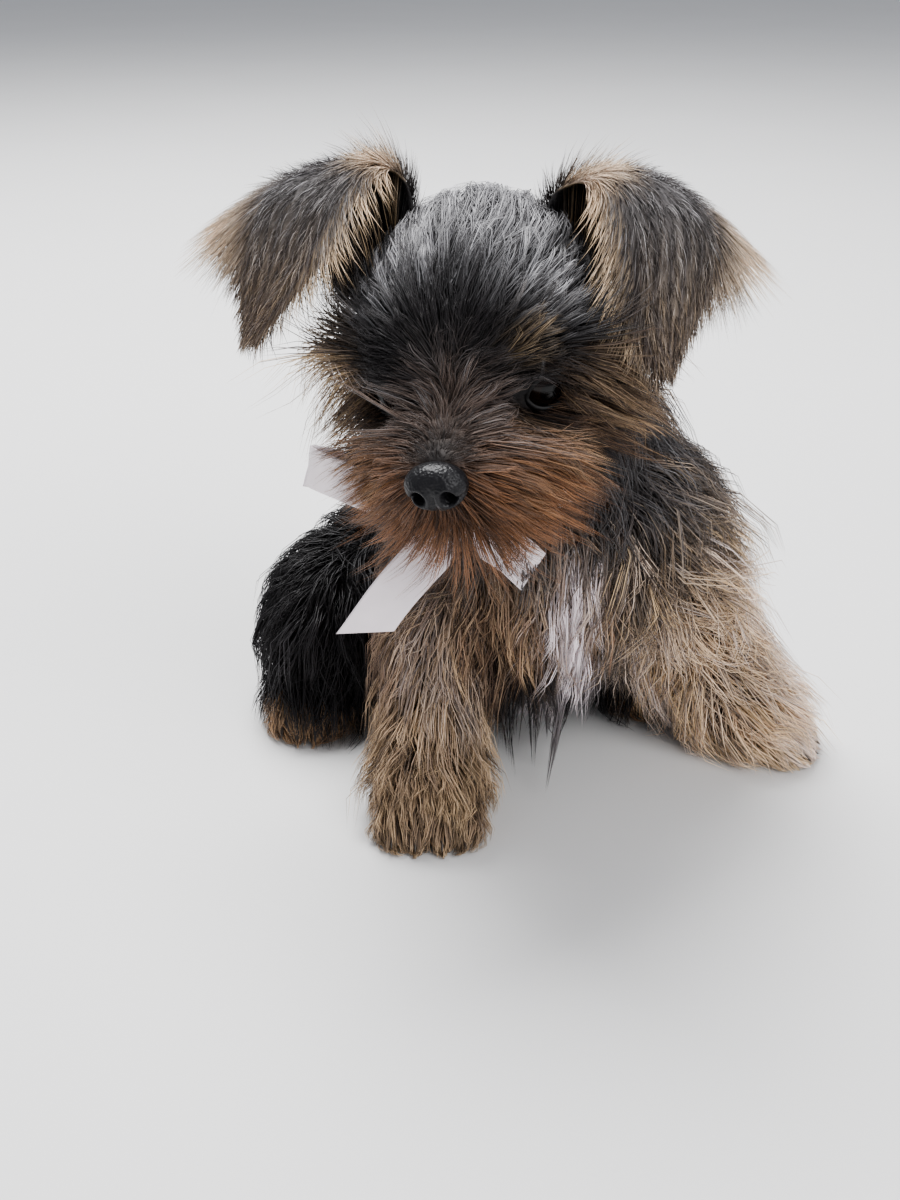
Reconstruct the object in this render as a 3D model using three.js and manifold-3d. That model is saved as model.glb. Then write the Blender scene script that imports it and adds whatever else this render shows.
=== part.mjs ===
// A sitting Yorkshire terrier puppy with a satin ribbon bow round its neck, life size.
// Millimetres, +Z up. The puppy faces -Y, and its own left side is towards +X.
import * as THREE from "three";
import { mergeVertices } from "three/addons/utils/BufferGeometryUtils.js";
import Module from "manifold-3d";

const wasm = await Module();
wasm.setup();
const { Manifold, Mesh } = wasm;

const at = (x, y, z) => new THREE.Vector3(x, y, z);
const radians = THREE.MathUtils.degToRad;
const UP = at(0, 0, 1);
const AHEAD = at(0, -1, 0);

// Driving dimensions of the head
const GAP = 0.35; // between pieces that meet face to face
const SKULL_CENTRE = at(7, -22, 124);
const HEAD_YAW = -14; // degrees, the head turns to the puppy's right
const HEAD_PITCH = 15; // degrees, the nose points down
const HEAD_ROLL = -8; // degrees, the left ear is carried higher
const EYE_RADIUS = 6;
const EYE = { side: 14.4, forward: 20.4, up: -7.4, aim: 50 };
const LID = { radius: 4.9, thickness: 1.1, stand: 3.5, squash: 0.84 };
const NOSE = { forward: 50.2, up: -11.2 };
const NOSE_HALF = at(6.3, 4.4, 4.9);
const NOSTRIL = { side: 3.4, up: -0.4, radius: 1.35, depth: 5 };
const LIP_PAD = { side: 5, forward: 42.5, up: -13.6, radius: 4.7 };
const EAR_THICKNESS = 2.2;
const EAR_FOLD = 0.36; // where the flap starts, as a share of the ear's length
const EAR_FOLD_GAP = 0.007;
const EAR_END = 0.95;

// Driving dimensions of the paws and the ribbon
const TOE_RADIUS = 4.1;
const TOE_PLACES = [-0.75, -0.27, 0.27, 0.75]; // across a paw, as shares of its half width
const CLAW_LENGTH = 4.6;
const CLAW_RADIUS = 1.15;
const RIBBON_WIDTH = 10;
const RIBBON_THICKNESS = 0.9;
const KNOT_CENTRE = [3, -40.5, 82];
const KNOT_HALF = at(5, 3.4, 5.4);

// [forward, up, half width, half height] of the skull and muzzle, from the back to the nose
const SKULL_STATIONS = [
  [-15, 0.5, 12, 12],
  [-10, 1, 18, 17.5],
  [-2, 1, 22, 21],
  [6, 0.5, 22.5, 21],
  [14, -1, 21.4, 18.5],
  [20, -4.2, 19, 15],
  [25, -7.4, 14.4, 11],
  [31, -9.4, 10.8, 8],
  [38, -10.4, 9.6, 7],
  [45, -11.1, 7.8, 5.8],
];
const JAW_STATIONS = [
  [10, -17.4, 9, 5],
  [20, -18.6, 9, 5],
  [30, -19.6, 8.4, 4.8],
  [37, -20, 7.2, 4.4],
  [41.5, -19.4, 5.4, 3.6],
];

// [x, y, z, half width, half depth] of the body and limbs
const TORSO_STATIONS = [
  [22, -13, 71, 24, 18],
  [22, -6, 63, 26, 25],
  [20, 9, 50, 27, 28],
  [15, 30, 40, 27, 27],
  [10, 50, 28.4, 28, 28.5],
  [6, 62, 22.6, 23, 25.5],
];
const NECK_STATIONS = [
  [8, -13, 112, 17, 16],
  [14, -8, 98, 20, 18],
  [20, -5, 84, 25, 20],
];
const FORELEG_RIGHT_STATIONS = [
  [4, -10, 66, 13, 14],
  [0, -10, 50, 11.5, 12],
  [-3, -14.5, 36, 9.5, 9.5],
  [-4, -22, 23.5, 8.4, 8.4],
  [-4.5, -29, 13, 8.4, 8.4],
];
const FORELEG_LEFT_STATIONS = [
  [41, -6, 70, 15, 15],
  [50, -4, 53, 12.5, 13],
  [59, 0, 37, 9.4, 9.4],
  [67, 0, 23, 7.8, 7.8],
  [74.5, -3, 11.5, 7.2, 7.2],
];
const PAW_RIGHT_STATIONS = [
  [-4.5, -31, 7.2, 8.6, 7.8],
  [-5, -38, 7.4, 12, 8.4],
  [-5, -44, 5.8, 11.6, 6.8],
];
const PAW_LEFT_STATIONS = [
  [75.5, -3.4, 6.2, 7.2, 6.8],
  [81.5, -5.6, 6.2, 9, 7.2],
  [87.5, -7.8, 4.9, 8.6, 5.8],
];
const THIGH_RIGHT_STATIONS = [
  [-10, 44, 31, 17],
  [-22, 32, 27, 19],
  [-31, 20, 24, 17],
  [-35, 12, 21, 13],
];
const THIGH_LEFT_STATIONS = [
  [26, 48, 31, 17],
  [38, 38, 27, 19],
  [47, 28, 24, 17],
  [51, 20, 21, 13],
];
const HIND_FOOT_RIGHT_STATIONS = [
  [-37, 36, 6, 6.5, 6.6],
  [-38, 20, 5.7, 6.5, 6.4],
  [-38, 8, 5.8, 8.5, 6.8],
  [-38, 2, 4.8, 8.6, 5.8],
];
const HIND_FOOT_LEFT_STATIONS = [
  [50, 46, 6, 6.5, 6.6],
  [53, 31, 5.7, 6.5, 6.4],
  [55, 19, 5.8, 8.5, 6.8],
  [56, 13, 4.8, 8.6, 5.8],
];
const TAIL_STATIONS = [
  [5, 82, 20, 8],
  [1, 92, 11, 7],
  [-8, 100, 5.6, 6],
  [-18, 103, 4, 4.4],
];

// The inner edge, middle and outer edge of each ear, from its root over the fold to its tip
const EAR_TIP_LEFT = [43.5, -39.5, 110.5];
const EAR_LEFT_EDGES = [
  [[18, -25, 139], [21.5, -22, 146], [27, -23, 148], [31.5, -33, 140.5], [34.5, -40, 125], EAR_TIP_LEFT],
  [[27, -13, 132], [32, -8, 143], [39, -11, 147], [45.5, -23, 141], [45, -34.5, 127], EAR_TIP_LEFT],
  [[31, -8, 121], [39, -2, 134], [51, -5, 140], [58.5, -14, 135.5], [53, -27.5, 125.5], EAR_TIP_LEFT],
];
const EAR_TIP_RIGHT = [-43, -27, 113.5];
const EAR_RIGHT_EDGES = [
  [[-7, -23, 140], [-9, -18, 147], [-12, -17, 149.5], [-19, -25, 145], [-27.5, -31, 132.5], EAR_TIP_RIGHT],
  [[-13.5, -13, 133], [-17, -7, 145.5], [-22, -9, 148.5], [-31, -16, 144], [-36, -24, 130.5], EAR_TIP_RIGHT],
  [[-19, -8, 120], [-26, -3, 135], [-34, -2, 143], [-44, -8, 139], [-44.5, -17, 128.5], EAR_TIP_RIGHT],
];

// The middle lines of the ribbon: band round the neck, two loops and two tails
const BAND_CENTRE = at(11, -9, 92);
const BAND_RADII = { side: 25.5, fore: 26.5 };
const BAND_SLOPE = 0.38; // the front hangs lower than the nape
const LOOP_LINES = {
  right: [
    [1, -41, 84.4], [-5, -42.6, 86], [-14, -44.4, 88.5], [-23, -43.4, 91.8],
    [-29.5, -41, 94], [-24, -39, 92.4], [-14, -40.4, 89], [-5, -39.6, 86], [1, -39.2, 84.4],
  ],
  left: [
    [5, -41, 84.4], [10, -42.4, 85.2], [16, -42.8, 86.4], [21.5, -41, 88],
    [24.5, -38, 89], [20.5, -37.4, 87.8], [15, -38.8, 86.4], [10, -39.4, 85.2], [5, -39.2, 84.4],
  ],
};
const TAIL_LINES = {
  right: [[0.8, -40.6, 79.6], [-4.5, -43, 74.5], [-12, -45, 66.2], [-18.6, -45.4, 56.6]],
  left: [[5, -40.6, 79.6], [9.5, -42, 77], [14, -42.6, 74], [18, -42.6, 70]],
};

// Driving dimensions of the coat: each lock is flat, tapered and bends along its lie.
const LOCK_SINK = 2.6; // how deep a lock's root goes into the body
const LEAF_SINK = 0.7; // and into an ear
const LOCK_THICKNESS = 2;
const LOCK_CLEARANCE = 0.35; // to every other node
const LOCK_LOWEST = 0.4; // no lock comes closer to the floor
const LOCK_DROOP = 0.08; // how far a tip hangs, as a share of its length
const LOCK_STEPS = [0.22, 0.4, 0.38]; // shares of its length from the root to the tip
const LOCK_WIDTHS = [0.7, 1, 0.8]; // shares of its width at the root and along it
const LOCK_TRIES = [
  // share of its length, added lift, swing to the side in degrees
  [1, 0, 0], [1, 2, 14], [1, 2, -14], [0.9, 4, 0], [0.8, 1, 28], [0.8, 1, -28], [0.62, 0.5, 0], [0.62, 4, 0],
];

// A repeatable random number from 0 to 1.
const SEED = 8;
let seedState = SEED;
function random() {
  seedState = (seedState * 1664525 + 1013904223) % 4294967296;
  return seedState / 4294967296;
}

function vary(value, share) {
  return value * (1 + share * (2 * random() - 1));
}

// The closed solid of a three.js geometry.
function solid(geometry, matrix) {
  const plain = geometry.index ? geometry.toNonIndexed() : geometry.clone();
  plain.deleteAttribute("normal").deleteAttribute("uv");
  if (matrix) plain.applyMatrix4(matrix);
  const merged = mergeVertices(plain, 1e-4);
  return new Manifold(
    new Mesh({
      numProp: 3,
      vertProperties: merged.attributes.position.array,
      triVerts: new Uint32Array(merged.index.array),
    }),
  );
}

// A closed geometry over rings of points, with a point before the first ring and after the last.
function skinOverRings(rings, first, last) {
  const sides = rings[0].length;
  const points = [first, ...rings.flat(), last];
  const faces = [];
  const start = (i) => 1 + i * sides;
  for (let k = 0; k < sides; k++) {
    const next = (k + 1) % sides;
    faces.push(0, start(0) + next, start(0) + k);
    for (let i = 0; i + 1 < rings.length; i++) {
      faces.push(start(i) + k, start(i) + next, start(i + 1) + next);
      faces.push(start(i) + k, start(i + 1) + next, start(i + 1) + k);
    }
    const end = start(rings.length - 1);
    faces.push(end + k, end + next, points.length - 1);
  }
  return new THREE.BufferGeometry().setFromPoints(points).setIndex(faces);
}

// An ellipsoid, from its centre and half sizes.
function ball(centre, half, columns = 12, rows = 8) {
  const matrix = new THREE.Matrix4().makeTranslation(centre).scale(half);
  return solid(new THREE.SphereGeometry(1, columns, rows), matrix);
}

const curveThrough = (points) => new THREE.CatmullRomCurve3(points.map(([x, y, z]) => at(x, y, z)));
const aboveFloor = (body) => body.trimByPlane([0, 0, 1], 0);

// A rounded body along a curve of stations. Its depth runs in the facing direction.
class Limb {
  constructor(stations, facing, sides = 12, rings = 6) {
    this.line = curveThrough(stations);
    this.sizes = curveThrough(stations.map((s) => [s[3], s[4] ?? s[3], 0]));
    this.facing = facing;
    this.sides = sides;
    this.rings = rings;
    this.samples = Array.from({ length: 33 }, (_, i) => i / 32);
  }

  frame(s) {
    const t = THREE.MathUtils.clamp(s, 0, 1);
    const along = this.line.getTangent(t);
    const wide = new THREE.Vector3().crossVectors(this.facing, along).normalize();
    const deep = new THREE.Vector3().crossVectors(along, wide);
    const size = this.sizes.getPoint(t);
    const cap = Math.min(size.x, size.y) * 0.8; // how far the rounded ends reach
    return { centre: this.line.getPoint(t), along, wide, deep, size, cap };
  }

  // A point of the skin. Below 0 and above 1, s runs over the rounded ends.
  point(s, angle, margin = 0) {
    const { centre, along, wide, deep, size, cap } = this.frame(s);
    const lean = THREE.MathUtils.clamp(s < 0 ? s : Math.max(0, s - 1), -1, 1) * (Math.PI / 2);
    return centre
      .addScaledVector(along, Math.sin(lean) * (cap + margin))
      .addScaledVector(wide, Math.cos(angle) * (size.x + margin) * Math.cos(lean))
      .addScaledVector(deep, Math.sin(angle) * (size.y + margin) * Math.cos(lean));
  }

  // A place on the skin, with its outward direction and the way along the limb.
  place(s, angle) {
    const step = 0.04;
    const along = this.point(s + step, angle).sub(this.point(s - step, angle)).normalize();
    const round = this.point(s, angle + step).sub(this.point(s, angle - step)).normalize();
    const out = new THREE.Vector3().crossVectors(round, along).normalize();
    return { point: this.point(s, angle), out, along };
  }

  // The place of the skin nearest to a point.
  nearest(point) {
    let best = 0;
    let least = Infinity;
    for (const t of this.samples) {
      const distance = this.line.getPoint(t).distanceToSquared(point);
      if (distance < least) [best, least] = [t, distance];
    }
    const { centre, along, wide, deep, size, cap } = this.frame(best);
    const offset = point.clone().sub(centre);
    const [a, b] = [offset.dot(wide) / size.x, offset.dot(deep) / size.y];
    const past = (best === 0 || best === 1 ? offset.dot(along) : 0) / cap;
    const lean = Math.atan2(past, Math.hypot(a, b)) / (Math.PI / 2);
    const s = best === 1 ? 1 + Math.max(0, lean) : best === 0 ? Math.min(0, lean) : best;
    return this.place(THREE.MathUtils.clamp(s, -0.95, 1.95), Math.atan2(b, a));
  }

  solid(margin = 0) {
    const caps = [0.36, 0.72];
    const steps = [-caps[1], -caps[0]];
    for (let i = 0; i <= this.rings; i++) steps.push(i / this.rings);
    steps.push(1 + caps[0], 1 + caps[1]);
    const rings = steps.map((s) =>
      Array.from({ length: this.sides }, (_, k) => this.point(s, (k / this.sides) * 2 * Math.PI, margin)),
    );
    return solid(skinOverRings(rings, this.point(-1, 0, margin), this.point(2, 0, margin)));
  }
}

// A thin leaf across three guide curves, such as an ear, thinner towards its rim.
class Leaf {
  constructor(edges, thickness) {
    this.guides = edges.map(curveThrough);
    this.thickness = thickness;
  }

  // across runs from -1 at the inner edge to 1 at the outer one, along from the root to the tip.
  point(across, along) {
    const a = across * across;
    const shares = [(a - across) / 2, 1 - a, (a + across) / 2];
    const sum = at(0, 0, 0);
    this.guides.forEach((guide, i) => sum.addScaledVector(guide.getPoint(along), shares[i]));
    return sum;
  }

  place(across, along) {
    const step = 0.03;
    const [low, high] = [Math.max(along - step, 0), Math.min(along + step, 1)];
    const down = this.point(across, high).sub(this.point(across, low)).normalize();
    const wide = this.point(across + step, along).sub(this.point(across - step, along)).normalize();
    const out = new THREE.Vector3().crossVectors(wide, down).normalize();
    return { point: this.point(across, along), out, along: down, wide };
  }

  // The place nearest to a point, in the plane of the leaf there, so it may lie past the rim.
  nearest(point) {
    let best = null;
    let least = Infinity;
    for (let across = -1; across <= 1; across += 0.25)
      for (let along = 0.05; along <= 0.96; along += 0.07) {
        const distance = this.point(across, along).distanceToSquared(point);
        if (distance < least) [best, least] = [[across, along], distance];
      }
    const place = this.place(...best);
    const away = point.clone().sub(place.point).dot(place.out);
    place.point = point.clone().addScaledVector(place.out, -away);
    return place;
  }

  // One corner of a face: side is 1 or -1.
  corner(across, along, side) {
    const { point, out } = this.place(across, along);
    const rim = 1 - 0.45 * across ** 4;
    return point.addScaledVector(out, side * (this.thickness / 2) * rim);
  }

  // The leaf's solid from one place along it to another.
  solid(from, to, rows, columns = 6) {
    const rings = [];
    for (let r = 0; r <= rows; r++) {
      const along = from + ((to - from) * r) / rows;
      const ring = [];
      for (let c = 0; c <= columns; c++) ring.push(this.corner((2 * c) / columns - 1, along, 1));
      for (let c = columns; c >= 0; c--) ring.push(this.corner((2 * c) / columns - 1, along, -1));
      rings.push(ring);
    }
    return solid(skinOverRings(rings, this.point(0, from), this.point(0, to)));
  }
}

// The four corners of a ribbon's section, from its middle line, the direction of its width and
// the share of its width that is not gathered up.
function ribbonRing(curve, t, across, margin, share = 1, slant = 0) {
  const along = curve.getTangent(t);
  const wide = across.clone().addScaledVector(along, -across.dot(along)).normalize();
  const out = new THREE.Vector3().crossVectors(along, wide);
  const corners = [[1, 1], [-1, 1], [-1, -1], [1, -1]];
  return corners.map(([a, b]) =>
    curve
      .getPoint(t)
      .addScaledVector(wide, a * ((RIBBON_WIDTH / 2) * share + margin))
      .addScaledVector(out, b * (RIBBON_THICKNESS / 2 + margin))
      .addScaledVector(along, a * slant),
  );
}

// A length of ribbon, gathered where it leaves the knot. across is the direction of its width.
function ribbonStrip(curve, across, steps, shareAt, slant = 0) {
  const rings = [];
  for (let i = 0; i <= steps; i++)
    rings.push(ribbonRing(curve, i / steps, across, 0, shareAt(i / steps), i === steps ? slant : 0));
  return solid(skinOverRings(rings, curve.getPoint(0), curve.getPoint(1)));
}

const GATHERED = 0.4; // share of the ribbon's width at the knot
const loopShare = (t) => Math.min(1, GATHERED + 3 * Math.min(t, 1 - t));
const tailShare = (t) => Math.min(1, GATHERED + 1.6 * t);

// The head's own frame: x to the puppy's left, -y forward, z up
const headMatrix = new THREE.Matrix4().compose(
  SKULL_CENTRE,
  new THREE.Quaternion().setFromEuler(
    new THREE.Euler(radians(HEAD_PITCH), radians(HEAD_ROLL), radians(HEAD_YAW), "ZXY"),
  ),
  at(1, 1, 1),
);
const onHead = (side, forward, up) => at(side, -forward, up).applyMatrix4(headMatrix);
const turnedWithHead = (x, y, z) => at(x, y, z).transformDirection(headMatrix);

function headLimb(stations, sides, rings) {
  const placed = stations.map(([forward, up, wide, high]) => [...onHead(0, forward, up), wide, high]);
  return new Limb(placed, turnedWithHead(0, 0, 1), sides, rings);
}

// Every form that carries coat
const forms = {
  head: headLimb(SKULL_STATIONS, 14, 10),
  jaw: headLimb(JAW_STATIONS, 10, 4),
  neck: new Limb(NECK_STATIONS, AHEAD, 14, 3),
  torso: new Limb(TORSO_STATIONS, UP, 16, 7),
  foreleg_right: new Limb(FORELEG_RIGHT_STATIONS, AHEAD, 10, 6),
  foreleg_left: new Limb(FORELEG_LEFT_STATIONS, AHEAD, 10, 6),
  paw_front_right: new Limb(PAW_RIGHT_STATIONS, UP, 10, 2),
  paw_front_left: new Limb(PAW_LEFT_STATIONS, UP, 10, 2),
  thigh_right: new Limb(THIGH_RIGHT_STATIONS, UP, 12, 4),
  thigh_left: new Limb(THIGH_LEFT_STATIONS, UP, 12, 4),
  hind_foot_right: new Limb(HIND_FOOT_RIGHT_STATIONS, UP, 10, 4),
  hind_foot_left: new Limb(HIND_FOOT_LEFT_STATIONS, UP, 10, 4),
  tail: new Limb(TAIL_STATIONS, UP, 10, 5),
  ear_left_flap: new Leaf(EAR_LEFT_EDGES, EAR_THICKNESS),
  ear_right_flap: new Leaf(EAR_RIGHT_EDGES, EAR_THICKNESS),
};

// Every node by name: its body, its locks and its look
const nodes = new Map();
const LOOKS = {
  coal: { colour: "#2c2b2e", roughness: 0.9 },
  tan: { colour: "#9a6a42", roughness: 0.9 },
  wheat: { colour: "#b8935f", roughness: 0.9 },
  eye: { colour: "#120c0a", roughness: 0.15 },
  nose: { colour: "#141214", roughness: 0.4 },
  ribbon: { colour: "#ecdfe4", roughness: 0.4 },
};

function addNode(name, body, look) {
  nodes.set(name, { name, body, locks: [], look: LOOKS[look] });
}

const eyePlace = (side) => onHead(side * EYE.side, EYE.forward, EYE.up);
const sphere = (centre, radius) => ball(centre, at(radius, radius, radius), 10, 7);
const lipPad = (side, margin) =>
  sphere(onHead(side * LIP_PAD.side, LIP_PAD.forward, LIP_PAD.up), LIP_PAD.radius + margin);

// The nose pad without its nostrils, larger all round by the margin.
function nosePad(margin) {
  const half = NOSE_HALF.clone().addScalar(margin);
  const place = new THREE.Matrix4().makeTranslation(at(0, -NOSE.forward, NOSE.up));
  return solid(new THREE.SphereGeometry(1, 14, 8), headMatrix.clone().multiply(place).scale(half));
}

function nostril(side) {
  const cone = new THREE.ConeGeometry(NOSTRIL.radius, NOSTRIL.depth, 7);
  cone.rotateX(radians(12));
  cone.rotateZ(side * radians(22));
  const front = -NOSE.forward - NOSE_HALF.y;
  cone.translate(side * NOSTRIL.side, front + NOSTRIL.depth * 0.35, NOSE.up + NOSTRIL.up);
  return solid(cone, headMatrix);
}

function noseGroove() {
  const groove = new THREE.BoxGeometry(0.8, 2.2, 5);
  groove.translate(0, -NOSE.forward - NOSE_HALF.y + 0.3, NOSE.up - NOSE_HALF.z + 1);
  return solid(groove, headMatrix);
}

// The rim of both lids of one eye, almond shaped, standing on the eyeball.
function lidRim(side) {
  const rim = new THREE.TorusGeometry(LID.radius, LID.thickness, 5, 10);
  rim.scale(1, LID.squash, 1);
  rim.rotateX(radians(90));
  rim.rotateZ(side * radians(EYE.aim));
  const outward = turnedWithHead(side * Math.sin(radians(EYE.aim)), -Math.cos(radians(EYE.aim)), 0);
  return solid(rim, headMatrix.clone().setPosition(eyePlace(side).addScaledVector(outward, LID.stand)));
}

function headBody() {
  const skull = Manifold.union([forms.head.solid(), lidRim(1), lidRim(-1), lipPad(1, 0), lipPad(-1, 0)]);
  const sockets = Manifold.union([1, -1].map((side) => sphere(eyePlace(side), EYE_RADIUS + GAP)));
  return skull.subtract(sockets).subtract(nosePad(GAP));
}

function jawBody() {
  const above = [forms.head.solid(GAP), headBody(), lipPad(1, GAP), lipPad(-1, GAP), nosePad(GAP)];
  return forms.jaw.solid().subtract(Manifold.union(above));
}

// Toes side by side round the front of a paw, each with its claw.
function toes(paw) {
  const { centre, along, size } = paw.frame(1);
  const wide = new THREE.Vector3().crossVectors(UP, along).normalize();
  const aim = new THREE.Quaternion().setFromUnitVectors(at(0, 1, 0), along.clone().setZ(-0.35).normalize());
  return TOE_PLACES.flatMap((place) => {
    const middle = centre
      .clone()
      .addScaledVector(wide, place * size.x)
      .addScaledVector(along, 3.4 - 2.6 * Math.abs(place))
      .setZ(TOE_RADIUS * 0.87);
    const claw = new THREE.ConeGeometry(CLAW_RADIUS, CLAW_LENGTH, 4);
    const clawMiddle = middle.clone().addScaledVector(along, TOE_RADIUS * 0.95).setZ(TOE_RADIUS * 0.75);
    return [
      ball(middle, at(TOE_RADIUS * 0.82, TOE_RADIUS, TOE_RADIUS), 7, 4),
      solid(claw, new THREE.Matrix4().compose(clawMiddle, aim, at(1, 1, 1))),
    ];
  });
}
const pawBody = (paw) => aboveFloor(Manifold.union([paw.solid(), ...toes(paw)]));

const ribbonKnot = (margin) => ball(at(...KNOT_CENTRE), KNOT_HALF.clone().addScalar(margin), 10, 7);

// The closed band of ribbon round the neck.
function ribbonBand(margin) {
  const steps = 28;
  const place = (i) => {
    const angle = (i / steps) * 2 * Math.PI;
    const y = BAND_RADII.fore * Math.sin(angle);
    return BAND_CENTRE.clone().add(at(BAND_RADII.side * Math.cos(angle), y, y * BAND_SLOPE));
  };
  const line = new THREE.CatmullRomCurve3(Array.from({ length: steps }, (_, i) => place(i)), true);
  const across = at(0, -BAND_SLOPE, 1).normalize();
  const points = [];
  const faces = [];
  for (let i = 0; i < steps; i++) {
    points.push(...ribbonRing(line, i / steps, across, margin));
    for (let k = 0; k < 4; k++) {
      const [a, b, next] = [i * 4, ((i + 1) % steps) * 4, (k + 1) % 4];
      faces.push(a + k, a + next, b + next, a + k, b + next, b + k);
    }
  }
  return solid(new THREE.BufferGeometry().setFromPoints(points).setIndex(faces));
}

const LOOP_ACROSS = { right: at(0.2, -0.25, 1), left: at(-0.2, -0.25, 1) };
const TAIL_ACROSS = { right: at(1, -0.1, -0.62), left: at(0.9, -0.1, 1) };
const TAIL_SLANT = { right: -4, left: -1.5 };

function ribbonPieces() {
  const clear = Manifold.union([ribbonKnot(GAP), ribbonBand(GAP)]);
  addNode("ribbon_knot", ribbonKnot(0), "ribbon");
  addNode("ribbon_band", ribbonBand(0), "ribbon");
  for (const side of ["right", "left"]) {
    const loop = ribbonStrip(curveThrough(LOOP_LINES[side]), LOOP_ACROSS[side], 14, loopShare);
    const line = curveThrough(TAIL_LINES[side]);
    const end = ribbonStrip(line, TAIL_ACROSS[side], 6, tailShare, TAIL_SLANT[side]);
    addNode(`ribbon_loop_${side}`, loop.subtract(clear), "ribbon");
    addNode(`ribbon_tail_${side}`, end.subtract(clear), "ribbon");
  }
}

function bodies() {
  const band = ribbonBand(GAP);
  const headRoom = Manifold.union([forms.head.solid(GAP), forms.jaw.solid(GAP)]);
  const trunkRoom = Manifold.union([forms.torso.solid(GAP), forms.neck.solid(GAP), headRoom, band]);
  addNode("head", headBody(), "coal");
  addNode("jaw", jawBody(), "tan");
  addNode("nose", nosePad(0).subtract(Manifold.union([nostril(1), nostril(-1), noseGroove()])), "nose");
  addNode("eye_left", sphere(eyePlace(1), EYE_RADIUS), "eye");
  addNode("eye_right", sphere(eyePlace(-1), EYE_RADIUS), "eye");
  for (const side of ["right", "left"]) {
    const ear = forms[`ear_${side}_flap`];
    addNode(`ear_${side}_base`, ear.solid(0, EAR_FOLD, 4).subtract(headRoom), "coal");
    addNode(`ear_${side}_flap`, ear.solid(EAR_FOLD + EAR_FOLD_GAP, EAR_END, 6), "coal");
  }
  addNode("neck", forms.neck.solid().subtract(headRoom).subtract(band), "coal");
  const trunk = forms.torso.solid().subtract(forms.neck.solid(GAP)).subtract(headRoom).subtract(band);
  addNode("torso", aboveFloor(trunk), "coal");
  for (const [side, look] of [["right", "tan"], ["left", "wheat"]]) {
    const foreleg = forms[`foreleg_${side}`];
    const thigh = forms[`thigh_${side}`];
    const foot = forms[`hind_foot_${side}`];
    addNode(`foreleg_${side}`, aboveFloor(foreleg.solid().subtract(trunkRoom)), look);
    addNode(`paw_front_${side}`, pawBody(forms[`paw_front_${side}`]).subtract(foreleg.solid(GAP)), "wheat");
    addNode(`hind_foot_${side}`, pawBody(foot), "tan");
    addNode(`thigh_${side}`, aboveFloor(thigh.solid().subtract(trunkRoom).subtract(foot.solid(GAP))), "coal");
  }
  addNode("tail", aboveFloor(forms.tail.solid().subtract(trunkRoom)), "coal");
  ribbonPieces();
}

// Ways that the coat lies. Each gives a direction at a place of the skin.
const headInverse = headMatrix.clone().invert();
const STOP = { forward: 26, up: -3 }; // the dip between the eyes that the face's coat parts from

function headFlow(place) {
  const { x, y, z } = place.point.clone().applyMatrix4(headInverse);
  const forward = -y;
  const side = THREE.MathUtils.clamp(x / 7, -1, 1);
  if (forward < STOP.forward) return turnedWithHead(x * 1.1, STOP.forward + 1 - forward, z - STOP.up);
  if (Math.abs(side) < 0.6) return turnedWithHead(side, 1, 0);
  return turnedWithHead(1.3 * side, 0.25, -0.6);
}

const beardFlow = (place) => {
  const { x } = place.point.clone().applyMatrix4(headInverse);
  return turnedWithHead(x / 9, -0.3, -1);
};
const mixed = (along, x, y, z) => (place) => place.along.clone().multiplyScalar(along).add(at(x, y, z));

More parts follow.
